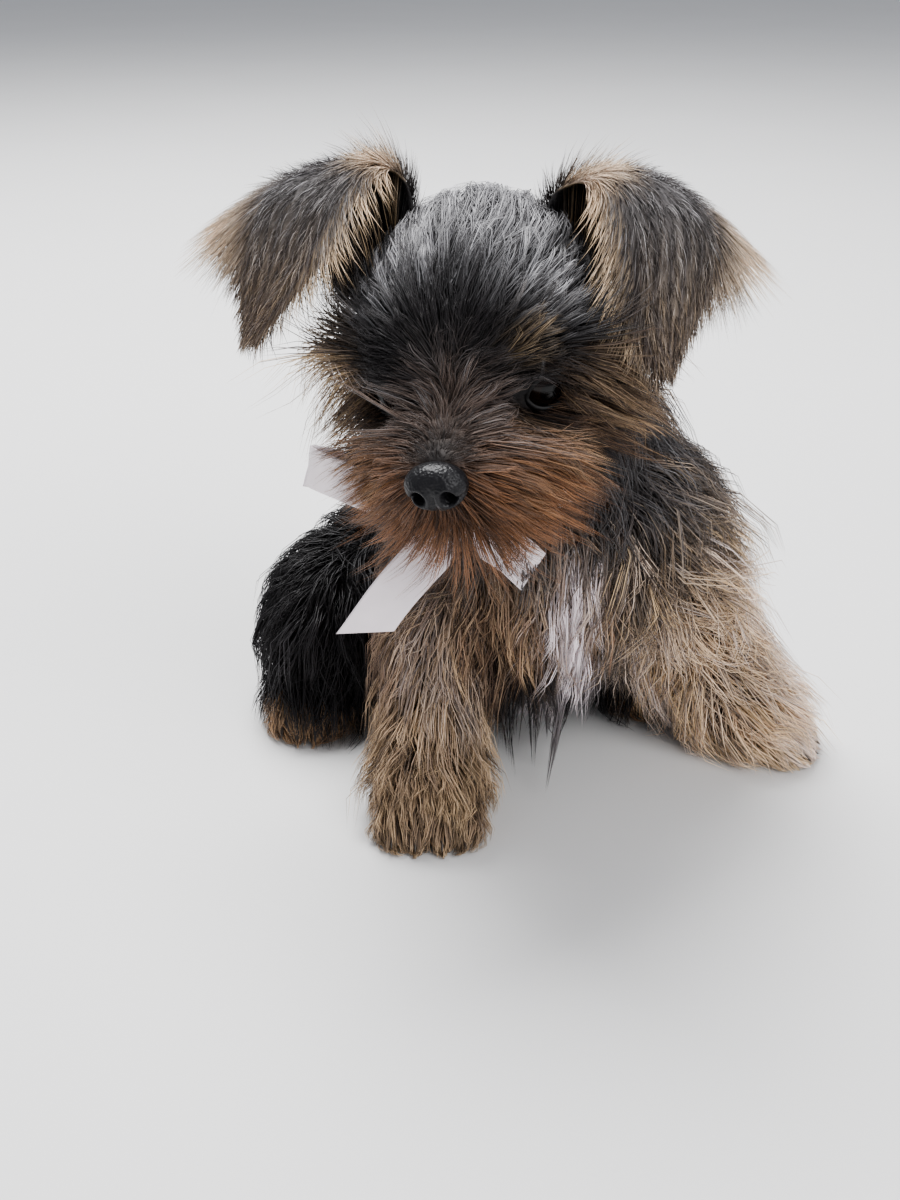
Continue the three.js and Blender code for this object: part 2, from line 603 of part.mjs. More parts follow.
// Each coat: its node, rows of locks from one place along its form to another, how many locks a
// row has and the arc it covers in degrees, each lock's length and width, how high it stands at
// three places on its way to the tip, and its lie.
const COATS = [
  ["head", [0.48, 0.16, 2], 7, [0, 180], 19, 8.5, [2.2, 4, 5], headFlow],
  ["head", [-0.2, -0.2, 1], 6, [-5, 185], 19, 10, [2.2, 4.2, 5.4], headFlow],
  ["head", [0.58, 0.36, 3], 1, [-28, -28], 21, 9, [2.2, 4.6, 6.5], headFlow],
  ["head", [0.58, 0.36, 3], 1, [208, 208], 21, 9, [2.2, 4.6, 6.5], headFlow],
  ["head", [0.4, 0.22, 2], 1, [-52, -52], 22, 10, [2.2, 4.6, 6.5], headFlow],
  ["head", [0.4, 0.22, 2], 1, [232, 232], 22, 10, [2.2, 4.6, 6.5], headFlow],
  ["head", [0.72, 0.9, 2], 2, [-50, 5], 20, 8, [2, 5, 8], headFlow],
  ["head", [0.72, 0.9, 2], 2, [175, 230], 20, 8, [2, 5, 8], headFlow],
  ["jaw", [0.4, 0.95, 2], 3, [215, 325], 19, 8, [1.6, 3, 4], beardFlow],
  ["ear_left_flap", [0.4, 0.8, 2], 2, [-0.4, 0.4], 19, 9, [2.2, 2.9, 2.6], mixed(1, 0, 0, -0.2)],
  ["ear_right_flap", [0.4, 0.8, 2], 2, [-0.4, 0.4], 19, 9, [2.2, 2.9, 2.6], mixed(1, 0, 0, -0.2)],
  ["neck", [0.2, 0.85, 2], 9, [0, 360], 27, 12, [2.3, 4.6, 7], mixed(1, 0, 0, -0.2)],
  ["torso", [-0.5, -0.5, 1], 5, [210, 330], 24, 11, [2.3, 4.6, 6], mixed(0, 0, 0, -1)],
  ["torso", [-0.15, 0.22, 2], 7, [175, 365], 30, 12, [2.3, 4.8, 6], mixed(0.2, 0, 0, -1)],
  ["torso", [0.16, 0.9, 4], 6, [-20, 200], 28, 13, [2.3, 4.6, 6], mixed(1, 0, 0, -0.5)],
  ["foreleg_right", [-0.15, 0.82, 4], 6, [0, 360], 25, 9, [2.2, 4.6, 6.5], mixed(1, -0.1, 0, 0)],
  ["foreleg_left", [-0.15, 0.82, 4], 6, [0, 360], 26, 9, [2.2, 4.8, 7], mixed(1, 0.3, 0.1, -0.2)],
  ["thigh_right", [0.1, 0.95, 3], 6, [-60, 150], 24, 11, [2.2, 4.2, 5], mixed(0, 0, 0.3, -1)],
  ["thigh_left", [0.1, 0.95, 3], 5, [30, 220], 24, 11, [2.2, 4.2, 5], mixed(0, 0, 0.3, -1)],
  ["hind_foot_right", [0.3, 0.3, 1], 3, [30, 150], 14, 6, [1.8, 2.4, 2.4], mixed(1, 0, 0, 0)],
  ["hind_foot_left", [0.3, 0.3, 1], 3, [30, 150], 14, 6, [1.8, 2.4, 2.4], mixed(1, 0, 0, 0)],
  ["paw_front_right", [0.2, 0.2, 1], 3, [20, 160], 12, 7, [1.8, 2.6, 2.4], mixed(1, 0, 0, 0)],
  ["paw_front_left", [0.2, 0.2, 1], 3, [20, 160], 11, 6, [1.8, 2.6, 2.4], mixed(1, 0, 0, 0)],
  ["tail", [0.15, 0.85, 2], 4, [0, 360], 19, 8, [2, 3.4, 4], mixed(1, 0, 0, 0)],
];

// The fringes of the ears: node, from one place along the rim to another, how many, which rim,
// how far along and outward they point, length and width.
const FRINGES = [
  ["ear_left_flap", 0.4, 0.86, 4, 1, [0.6, 1], 13, 7],
  ["ear_left_flap", 0.5, 0.8, 2, -1, [1, 0.5], 12, 6],
  ["ear_right_flap", 0.4, 0.86, 4, 1, [0.6, 1], 12, 7],
  ["ear_right_flap", 0.5, 0.8, 2, -1, [1, 0.5], 12, 6],
];

// The places that one lock passes through, from inside its root to its tip. It follows the skin
// for most of its length, and its tip runs on straight and hangs a little.
function lockPath(form, root, flow, length, heights, swing) {
  const sink = form instanceof Leaf ? LEAF_SINK : LOCK_SINK;
  const path = [{ point: root.point.clone().addScaledVector(root.out, -sink), out: root.out }];
  let here = root;
  heights.forEach((height, i) => {
    const way = flow(here);
    way.addScaledVector(here.out, -way.dot(here.out)).normalize();
    way.applyAxisAngle(here.out, radians(swing));
    const next = here.point.clone().addScaledVector(way, length * LOCK_STEPS[i]);
    const tip = i === heights.length - 1;
    if (!tip) here = form.nearest(next);
    const point = (tip ? next : here.point.clone()).addScaledVector(here.out, height);
    if (tip) point.z -= length * LOCK_DROOP;
    path.push({ point, out: here.out });
  });
  return path;
}

// The same for a lock at an ear's rim, which runs on in the plane of the ear.
function fringePath(ear, along, rim, [down, outward], length) {
  const { point, out, along: lie, wide } = ear.place(rim, along);
  const way = lie.multiplyScalar(down).addScaledVector(wide, rim * outward).normalize();
  return [-2.4, 3, length * 0.6, length].map((reach, i) => ({
    point: point.clone().addScaledVector(way, reach).addScaledVector(UP, -i * i * 0.25),
    out,
  }));
}

// One lock, larger all round by the margin. Its section is flat below with a low ridge.
function lockSolid(path, width, margin) {
  const rings = LOCK_WIDTHS.map((share, i) => {
    const { point, out } = path[i];
    const along = path[i + 1].point.clone().sub(path[Math.max(i - 1, 0)].point).normalize();
    const across = new THREE.Vector3().crossVectors(out, along).normalize();
    const up = new THREE.Vector3().crossVectors(along, across);
    const half = (width / 2) * share;
    const [low, high] = [-LOCK_THICKNESS * 0.4 - margin, LOCK_THICKNESS * 0.6 + margin];
    const section = [[-half - 2 * margin, low], [half + 2 * margin, low], [0, high + margin]];
    return section.map(([a, b]) => point.clone().addScaledVector(across, a).addScaledVector(up, b));
  });
  const tip = path[3].point.clone().sub(path[2].point).normalize();
  return solid(skinOverRings(rings, path[0].point, path[3].point.clone().addScaledVector(tip, margin)));
}

const boxesMeet = (a, b) => [0, 1, 2].every((k) => a.min[k] < b.max[k] && b.min[k] < a.max[k]);

// Whether a lock's wider copy is clear of the floor, of every other node and of the open places.
function isClear(wide, name) {
  const box = wide.boundingBox();
  if (box.min[2] < LOCK_LOWEST) return false;
  return obstacles.every(
    (o) => o.name === name || !boxesMeet(box, o.box) || wide.intersect(o.body).isEmpty(),
  );
}

// What locks keep clear of: every node, and the open places in front of the eyes and the nose.
const obstacles = [];
const avoid = (name, body) => obstacles.push({ name, body, box: body.boundingBox() });

// Puts a lock into its node where it is clear, and says whether it was.
function addLock(name, path, width) {
  if (!isClear(lockSolid(path, width, LOCK_CLEARANCE), name)) return false;
  const lock = lockSolid(path, width, 0);
  nodes.get(name).locks.push(lock);
  avoid(name, lock);
  return true;
}

// One coat. A lock that isn't clear is lifted or shortened, else left out.
function growCoat([name, [from, to, rows], around, [low, high], length, width, heights, flow]) {
  const form = forms[name];
  const onLeaf = form instanceof Leaf;
  const closed = high - low === 360;
  for (let row = 0; row < rows; row++)
    for (let k = 0; k < around; k++) {
      const step = (high - low) / (closed ? around : Math.max(1, around - 1));
      const angle = low + step * (k + (closed ? row / 2 : 0) + 0.3 * (random() - 0.5));
      const s = from + ((to - from) * row) / Math.max(1, rows - 1) + 0.05 * (random() - 0.5);
      const root = onLeaf ? form.place(angle, s) : form.place(s, radians(angle));
      const [long, broad] = [vary(length, 0.18), vary(width, 0.15)];
      LOCK_TRIES.some(([shorter, lift, swing]) => {
        const raised = heights.map((height, i) => height + (lift * (i + 1)) / 3);
        return addLock(name, lockPath(form, root, flow, long * shorter, raised, swing), broad);
      });
    }
}

function growFringe([name, from, to, count, rim, spread, length, width]) {
  for (let k = 0; k < count; k++) {
    const along = from + ((to - from) * k) / (count - 1);
    addLock(name, fringePath(forms[name], along, rim, spread, vary(length, 0.2)), width);
  }
}

function growCoats() {
  nodes.forEach((node) => avoid(node.name, node.body));
  for (const side of [1, -1]) {
    const outward = turnedWithHead(side * Math.sin(radians(EYE.aim)), -Math.cos(radians(EYE.aim)), 0);
    avoid("open", sphere(eyePlace(side).addScaledVector(outward, 5), EYE_RADIUS + 0.5));
  }
  avoid("open", sphere(onHead(0, NOSE.forward + 4, NOSE.up), 7.5));
  COATS.forEach(growCoat);
  FRINGES.forEach(growFringe);
}

// The largest closed surface of a body.
function largestPiece(body) {
  const pieces = body.decompose();
  return pieces.sort((a, b) => b.volume() - a.volume())[0];
}

// A mesh whose own position is the middle of its body.
function meshOf({ name, body, locks, look }) {
  const whole = largestPiece(Manifold.union([body, ...locks]));
  const { vertProperties, triVerts, numProp, numVert } = whole.getMesh();
  const box = whole.boundingBox();
  const middle = at(...box.min).add(at(...box.max)).multiplyScalar(0.5).round();
  const positions = new Float32Array(numVert * 3);
  for (let i = 0; i < numVert; i++)
    for (let k = 0; k < 3; k++)
      positions[i * 3 + k] = vertProperties[i * numProp + k] - middle.getComponent(k);
  const geometry = new THREE.BufferGeometry();
  geometry.setAttribute("position", new THREE.BufferAttribute(positions, 3));
  geometry.setIndex(new THREE.BufferAttribute(triVerts, 1));
  const material = new THREE.MeshStandardMaterial({ color: look.colour, roughness: look.roughness });
  const mesh = new THREE.Mesh(geometry, material);
  mesh.name = name;
  mesh.position.copy(middle);
  return mesh;
}

bodies();
growCoats();
const puppy = new THREE.Group();
puppy.name = "puppy";
for (const node of nodes.values()) puppy.add(meshOf(node));

// The middle of the box it stands in comes to the origin, on the floor.
const box = new THREE.Box3().setFromObject(puppy);
const boxMiddle = box.getCenter(at(0, 0, 0));
puppy.position.set(-boxMiddle.x, -boxMiddle.y, -box.min.z);

export default puppy;
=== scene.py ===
"""The looks of a sitting Yorkshire terrier puppy with a satin bow round its neck.

Sizes are in millimetres in the puppy's own frame: +Z up, the puppy faces -Y and its left side is
towards +X. They become metres in the model's frame when a mesh is made.
"""

import functools
import math

import bpy
import numpy as np
from bpy.props import FloatProperty, FloatVectorProperty, IntProperty, PointerProperty
from mathutils import Matrix, Vector, kdtree


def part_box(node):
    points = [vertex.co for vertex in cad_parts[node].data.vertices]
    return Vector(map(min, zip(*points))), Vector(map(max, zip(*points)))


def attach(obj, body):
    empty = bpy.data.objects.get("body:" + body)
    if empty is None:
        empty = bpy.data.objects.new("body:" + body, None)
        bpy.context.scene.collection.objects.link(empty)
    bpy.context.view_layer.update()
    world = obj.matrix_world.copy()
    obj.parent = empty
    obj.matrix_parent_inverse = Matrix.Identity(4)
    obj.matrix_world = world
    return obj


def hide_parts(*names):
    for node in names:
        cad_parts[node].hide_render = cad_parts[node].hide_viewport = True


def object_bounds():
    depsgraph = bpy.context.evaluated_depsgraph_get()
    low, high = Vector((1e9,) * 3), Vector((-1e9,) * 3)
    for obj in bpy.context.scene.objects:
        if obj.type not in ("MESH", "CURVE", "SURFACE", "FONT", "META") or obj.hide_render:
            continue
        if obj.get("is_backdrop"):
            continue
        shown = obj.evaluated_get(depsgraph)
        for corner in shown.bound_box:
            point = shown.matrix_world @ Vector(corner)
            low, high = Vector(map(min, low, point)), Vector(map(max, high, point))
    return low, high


bl_info = {
    "name": "Terrier puppy looks",
    "version": (1, 0, 0),
    "blender": (4, 5, 0),
    "location": "View3D > Sidebar > Puppy",
    "description": "Skin, coat, eyes, nose, claws and ribbon of a sitting puppy",
    "category": "Object",
}

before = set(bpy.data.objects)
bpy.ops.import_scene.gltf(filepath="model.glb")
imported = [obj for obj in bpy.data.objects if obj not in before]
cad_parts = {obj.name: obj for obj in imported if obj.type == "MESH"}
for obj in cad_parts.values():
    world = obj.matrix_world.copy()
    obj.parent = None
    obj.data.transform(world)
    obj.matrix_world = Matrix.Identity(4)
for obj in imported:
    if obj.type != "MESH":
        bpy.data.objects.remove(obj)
SOLID_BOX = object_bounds()
BODY = "root"

# The head's own frame
SKULL_CENTRE = np.array([7.0, -22.0, 124.0])
HEAD_PITCH = 15
HEAD_ROLL = -8
HEAD_YAW = -14
EYE_PLACE = {"side": 14.4, "forward": 20.4, "up": -7.4, "aim": 35}
EYE_RADIUS = 6
LID_RADIUS = 7.1
LID_OPENING = (4.5, 3.7)  # half width and half height
NOSE_PLACE = {"forward": 50.2, "up": -11.2}
NOSE_HALF = (6.3, 4.4, 4.9)
LIP_PAD = {"side": 5, "forward": 42.5, "up": -13.6, "radius": 4.7}
STOP_FORWARD = 26  # the dip between the eyes, from where the face's coat parts
STOP_UP = -3
MUZZLE_AXIS_UP = -10  # the muzzle's coat spreads from this height round the nose

# [forward, up, half width, half height] of the skull and the lower jaw
SKULL_STATIONS = [
    [-15, 0.5, 12, 12],
    [-10, 1, 18, 17.5],
    [-2, 1, 22, 21],
    [6, 0.5, 22.5, 21],
    [14, -1, 21.4, 18.5],
    [20, -4.2, 19, 15],
    [25, -7.4, 14.4, 11],
    [31, -9.4, 10.8, 8],
    [38, -10.4, 9.6, 7],
    [45, -11.1, 7.8, 5.8],
]
JAW_STATIONS = [
    [10, -17.4, 9, 5],
    [20, -18.6, 9, 5],
    [30, -19.6, 8.4, 4.8],
    [37, -20, 7.2, 4.4],
    [41.5, -19.4, 5.4, 3.6],
]

# [x, y, z, half width, half depth] of the other forms, and the direction their depth faces
UP = (0, 0, 1)
AHEAD = (0, -1, 0)
FORM_STATIONS = {
    "neck": (AHEAD, [[8, -13, 112, 17, 16], [14, -8, 98, 20, 18], [20, -5, 84, 25, 20]]),
    "torso": (
        UP,
        [
            [22, -13, 71, 24, 18],
            [22, -6, 63, 26, 25],
            [20, 9, 50, 27, 28],
            [15, 30, 40, 27, 27],
            [10, 50, 28.4, 28, 28.5],
            [6, 62, 22.6, 23, 25.5],
        ],
    ),
    "foreleg_right": (
        AHEAD,
        [
            [4, -10, 66, 13, 14],
            [0, -10, 50, 11.5, 12],
            [-3, -14.5, 36, 9.5, 9.5],
            [-4, -22, 23.5, 8.4, 8.4],
            [-4.5, -29, 13, 8.4, 8.4],
        ],
    ),
    "foreleg_left": (
        AHEAD,
        [
            [41, -6, 70, 15, 15],
            [50, -4, 53, 12.5, 13],
            [59, 0, 37, 9.4, 9.4],
            [67, 0, 23, 7.8, 7.8],
            [74.5, -3, 11.5, 7.2, 7.2],
        ],
    ),
    "paw_front_right": (
        UP,
        [[-4.5, -31, 7.2, 8.6, 7.8], [-5, -38, 7.4, 12, 8.4], [-5, -44, 5.8, 11.6, 6.8]],
    ),
    "paw_front_left": (
        UP,
        [[75.5, -3.4, 6.2, 7.2, 6.8], [81.5, -5.6, 6.2, 9, 7.2], [87.5, -7.8, 4.9, 8.6, 5.8]],
    ),
    "thigh_right": (
        UP,
        [[-10, 44, 31, 17, 17], [-22, 32, 27, 19, 19], [-31, 20, 24, 17, 17], [-35, 12, 21, 13, 13]],
    ),
    "thigh_left": (
        UP,
        [[26, 48, 31, 17, 17], [38, 38, 27, 19, 19], [47, 28, 24, 17, 17], [51, 20, 21, 13, 13]],
    ),
    "hind_foot_right": (
        UP,
        [
            [-37, 36, 6, 6.5, 6.6],
            [-38, 20, 5.7, 6.5, 6.4],
            [-38, 8, 5.8, 8.5, 6.8],
            [-38, 2, 4.8, 8.6, 5.8],
        ],
    ),
    "hind_foot_left": (
        UP,
        [
            [50, 46, 6, 6.5, 6.6],
            [53, 31, 5.7, 6.5, 6.4],
            [55, 19, 5.8, 8.5, 6.8],
            [56, 13, 4.8, 8.6, 5.8],
        ],
    ),
    "tail": (UP, [[5, 82, 20, 8, 8], [1, 92, 11, 7, 7], [-8, 100, 5.6, 6, 6], [-18, 103, 4, 4.4, 4.4]]),
}
PAWS = ("paw_front_right", "paw_front_left", "hind_foot_right", "hind_foot_left")

# The inner edge, middle and outer edge of each ear, from its root over the fold to its tip
EAR_TIP = {"left": [43.5, -39.5, 110.5], "right": [-43, -27, 113.5]}
EAR_EDGES = {
    "left": [
        [[18, -25, 139], [21.5, -22, 146], [27, -23, 148], [31.5, -33, 140.5], [34.5, -40, 125]],
        [[27, -13, 132], [32, -8, 143], [39, -11, 147], [45.5, -23, 141], [45, -34.5, 127]],
        [[31, -8, 121], [39, -2, 134], [51, -5, 140], [58.5, -14, 135.5], [53, -27.5, 125.5]],
    ],
    "right": [
        [[-7, -23, 140], [-9, -18, 147], [-12, -17, 149.5], [-19, -25, 145], [-27.5, -31, 132.5]],
        [[-13.5, -13, 133], [-17, -7, 145.5], [-22, -9, 148.5], [-31, -16, 144], [-36, -24, 130.5]],
        [[-24, -8, 119], [-30, -3, 134], [-35, -2, 143], [-44, -8, 139], [-44.5, -17, 128.5]],
    ],
}
EAR_THICKNESS = 1.6
EAR_SAMPLES = 60  # steps along each guide curve

# The ribbon: width, thickness and the middle lines of its band, loops and tails
RIBBON_WIDTH = 10
RIBBON_THICKNESS = 0.4
RIBBON_GATHERED = 0.45  # share of its width where the knot holds it
PLEATS = 3
BAND_CENTRE = np.array([11.0, -9.0, 92.0])
BAND_SIDE = 25.5
BAND_FORE = 26.5
BAND_SLOPE = 0.38
BAND_SAMPLES = 97
BAND_MARGIN = 5  # the hair over the band stays clear of it this far past its edges
KNOT_CENTRE = np.array([3.0, -40.5, 82.0])
KNOT_HALF = (5, 3.4, 5.4)
LOOP_LINES = {
    "right": [
        [1, -41, 84.4],
        [-5, -42.6, 86],
        [-14, -44.4, 88.5],
        [-23, -43.4, 91.8],
        [-29.5, -41, 94],
        [-24, -39, 92.4],
        [-14, -40.4, 89],
        [-5, -39.6, 86],
        [1, -39.2, 84.4],
    ],
    "left": [
        [5, -41, 84.4],
        [10, -42.4, 85.2],
        [16, -42.8, 86.4],
        [21.5, -41, 88],
        [24.5, -38, 89],
        [20.5, -37.4, 87.8],
        [15, -38.8, 86.4],
        [10, -39.4, 85.2],
        [5, -39.2, 84.4],
    ],
}
TAIL_LINES = {
    "right": [[0.8, -40.6, 79.6], [-4.5, -43, 74.5], [-12, -45, 66.2], [-18.6, -45.4, 56.6]],
    "left": [[5, -40.6, 79.6], [9.5, -42, 77], [14, -42.6, 74], [18, -42.6, 70]],
}
LOOP_ACROSS = {"right": (0.2, -0.25, 1), "left": (-0.2, -0.25, 1)}
TAIL_ACROSS = {"right": (1, -0.1, -0.62), "left": (0.9, -0.1, 1)}
TAIL_SLANT = {"right": -4, "left": -1.5}

# Toes and claws
TOE_RADIUS = 4.1
TOE_PLACES = (-0.75, -0.27, 0.27, 0.75)
CLAW_LENGTH = 4.6
CLAW_RADIUS = 1.1

# The field that the skin is taken from
FIELD_STEP = 1.2
FIELD_MARGIN = 15
SKIN_DEPTH = 0.9  # how far the skin lies inside the solids
FORM_BLEND = 4.5  # reach of the fillets between the forms of the body
HEAD_BLEND = 2
PAD_BLEND = 1.5
TOE_BLEND = 1
LID_BLEND = 3
LID_EDGE_BLEND = 0.6
LID_FRONT = 3  # the lids are open in front of this depth of the eyeball
SAMPLES = 24
FAR = 30.0


# Small helpers


def unit(vectors):
    """The same directions with length 1."""
    return vectors / np.maximum(np.linalg.norm(vectors, axis=-1, keepdims=True), 1e-9)


def dot(a, b):
    """The dot products of two lists of vectors, kept as a column."""
    return np.sum(a * b, axis=-1, keepdims=True)


def ease(low, high, values):
    """A smooth step from 0 at low to 1 at high."""
    share = np.clip((values - low) / (high - low), 0, 1)
    return share * share * (3 - 2 * share)


def bump_at(distance, reach):
    """A soft hill that is 1 at no distance and near 0 past the reach."""
    return np.exp(-((distance / reach) ** 2))


def curve_through(points, count):
    """Places evenly along the parameter of a smooth curve through the given points."""
    given = np.array(points, float)
    padded = np.vstack([2 * given[0] - given[1], given, 2 * given[-1] - given[-2]])
    places = np.linspace(0, len(given) - 1, count)
    first = np.minimum(places.astype(int), len(given) - 2)
    share = (places - first)[:, None]
    a, b, c, d = (padded[first + k] for k in range(4))
    before, between, after = (
        np.maximum(np.linalg.norm(v - u, axis=1, keepdims=True), 1e-6) ** 0.5
        for u, v in ((a, b), (b, c), (c, d))
    )
    leaving = ((b - a) / before - (c - a) / (before + between) + (c - b) / between) * between
    arriving = ((c - b) / between - (d - b) / (between + after) + (d - c) / after) * between
    squared, cubed = share**2, share**3
    return (
        b * (2 * cubed - 3 * squared + 1)
        + leaving * (cubed - 2 * squared + share)
        + c * (3 * squared - 2 * cubed)
        + arriving * (cubed - squared)
    )


def turn(degrees, axis):
    """A turn about one axis as a numpy matrix."""
    return np.array(Matrix.Rotation(math.radians(degrees), 3, axis))


HEAD_TURN = turn(HEAD_YAW, "Z") @ turn(HEAD_PITCH, "X") @ turn(HEAD_ROLL, "Y")


def on_head(side, forward, up):
    """A place given by how far it is to the side, forward and up in the head's own frame."""
    return SKULL_CENTRE + HEAD_TURN @ np.array([side, -forward, up], float)


def head_places(points):
    """The side, forward and up measures of points in the head's own frame."""
    local = (points - SKULL_CENTRE) @ HEAD_TURN
    return local[:, 0], -local[:, 1], local[:, 2]


def eye_place(side):
    """The middle of one eyeball."""
    return on_head(side * EYE_PLACE["side"], EYE_PLACE["forward"], EYE_PLACE["up"])


def eye_aim(side):
    """The direction in which one eye looks."""
    angle = math.radians(EYE_PLACE["aim"])
    return HEAD_TURN @ np.array([side * math.sin(angle), -math.cos(angle), 0])


def lid_axes(side):
    """The directions in which one eye looks, and along and across the slit of its lids."""
    aim = eye_aim(side)
    upward = HEAD_TURN @ np.array([0, 0, 1.0])
    wide = unit(np.cross(upward, aim))
    return aim, wide, np.cross(aim, wide)


EYE_BOX = np.array(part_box("eye_left")) * 1000
SHIFT = EYE_BOX.mean(axis=0) - eye_place(1)


def to_model(points):
    """Points of the puppy's own frame, in metres in the model's frame."""
    return (np.asarray(points) + SHIFT) / 1000


# The forms of the body


class Limb:
    """A rounded form along stations of x, y, z, half width and half depth."""

    def __init__(self, stations, facing):
        table = np.array(stations, float)
        self.centres = curve_through(table[:, :3], SAMPLES)
        self.sizes = curve_through(table[:, 3:], SAMPLES)
        self.along = unit(np.gradient(self.centres, axis=0))
        self.wide = unit(np.cross(np.array(facing, float), self.along))
        self.deep = np.cross(self.along, self.wide)
        least = self.sizes.min(axis=1)
        reach = 0.45 * least
        reach[0] = 0.8 * least[0]
        reach[-1] = 0.8 * least[-1]
        self.half = np.column_stack([reach, self.sizes])
        self.axes = np.stack([self.along, self.wide, self.deep], axis=2)

    def bounds(self, margin):
        """The lowest and highest corners of the form with a margin."""
        reach = self.half.max(axis=1, keepdims=True)
        return (self.centres - reach).min(axis=0) - margin, (self.centres + reach).max(axis=0) + margin

    def distance(self, points):
        """How far points are outside the form, and the sample nearest to each."""
        least = np.full(len(points), 1e3, np.float32)
        nearest = np.zeros(len(points), np.int32)
        for i in range(SAMPLES):
            local = (points - self.centres[i].astype(np.float32)) @ self.axes[i].astype(np.float32)
            scaled = local / self.half[i].astype(np.float32)
            inner = np.sqrt(np.einsum("ij,ij->i", scaled, scaled))
            scaled /= self.half[i].astype(np.float32)
            outer = np.sqrt(np.einsum("ij,ij->i", scaled, scaled)) + 1e-6
            away = inner * (inner - 1) / outer
            closer = away < least
            least[closer] = away[closer]
            nearest[closer] = i
        return least, nearest

    def around(self, points, nearest):
        """The angle of points round the form, from -pi to pi."""
        offset = points - self.centres[nearest]
        return np.arctan2(dot(offset, self.deep[nearest])[:, 0], dot(offset, self.wide[nearest])[:, 0])


def head_stations(stations):
    """Stations of the head as stations of the puppy."""
    return [[*on_head(0, forward, up), wide, high] for forward, up, wide, high in stations]


@functools.lru_cache(maxsize=None)
def forms():
    """Every limb by name, the head and jaw first."""
    upward = HEAD_TURN @ np.array([0, 0, 1.0])
    made = {
        "head": Limb(head_stations(SKULL_STATIONS), upward),
        "jaw": Limb(head_stations(JAW_STATIONS), upward),
    }
    for name, (facing, stations) in FORM_STATIONS.items():
        made[name] = Limb(stations, facing)
    return made


class Ear:
    """A thin leaf across three guide curves, from the root of an ear to its tip."""

    def __init__(self, side):
        self.guides = [curve_through([*edge, EAR_TIP[side]], EAR_SAMPLES + 1) for edge in EAR_EDGES[side]]
        self.outside = -1 if side == "left" else 1  # whether the leaf's normal looks out of the ear

    def point(self, across, along):
        """Places on the leaf. across runs from -1 at the inner edge to 1 at the outer one."""
        place = np.clip(along, 0, 1) * EAR_SAMPLES
        first = np.minimum(place.astype(int), EAR_SAMPLES - 1)
        share = (place - first)[:, None]
        squared = across**2
        total = 0
        for guide, part in zip(self.guides, ((squared - across) / 2, 1 - squared, (squared + across) / 2)):
            total = total + part[:, None] * (guide[first] * (1 - share) + guide[first + 1] * share)
        return total

    def frame(self, across, along):
        """Places with the directions out of the leaf, along it and across it."""
        step = 0.03
        low = np.maximum(along - step, 0)
        high = np.minimum(along + step, 0.97)
        down = unit(self.point(across, high) - self.point(across, np.minimum(low, high - step)))
        wide = unit(self.point(across + step, along) - self.point(across - step, along))
        return self.point(across, along), unit(np.cross(wide, down)), down, wide


@functools.lru_cache(maxsize=None)
def ears():
    """Both ears by side."""
    return {side: Ear(side) for side in EAR_EDGES}


def toe_centres(name):
    """The middles of a paw's toes and the direction in which they point."""
    paw = forms()[name]
    along = paw.along[-1]
    wide = unit(np.cross(UP, along))
    middles = []
    for place in TOE_PLACES:
        middle = paw.centres[-1] + wide * place * paw.sizes[-1][0] + along * (3.4 - 2.6 * abs(place))
        middle[2] = TOE_RADIUS * 0.87
        middles.append(middle)
    return middles, unit(along * np.array([1, 1, 0]))


# The field: how far each place is outside the skin


def blended(a, b, reach):
    """The union of two distances with a smooth fillet."""
    share = np.clip(0.5 + 0.5 * (b - a) / reach, 0, 1)
    return b * (1 - share) + a * share - reach * share * (1 - share)


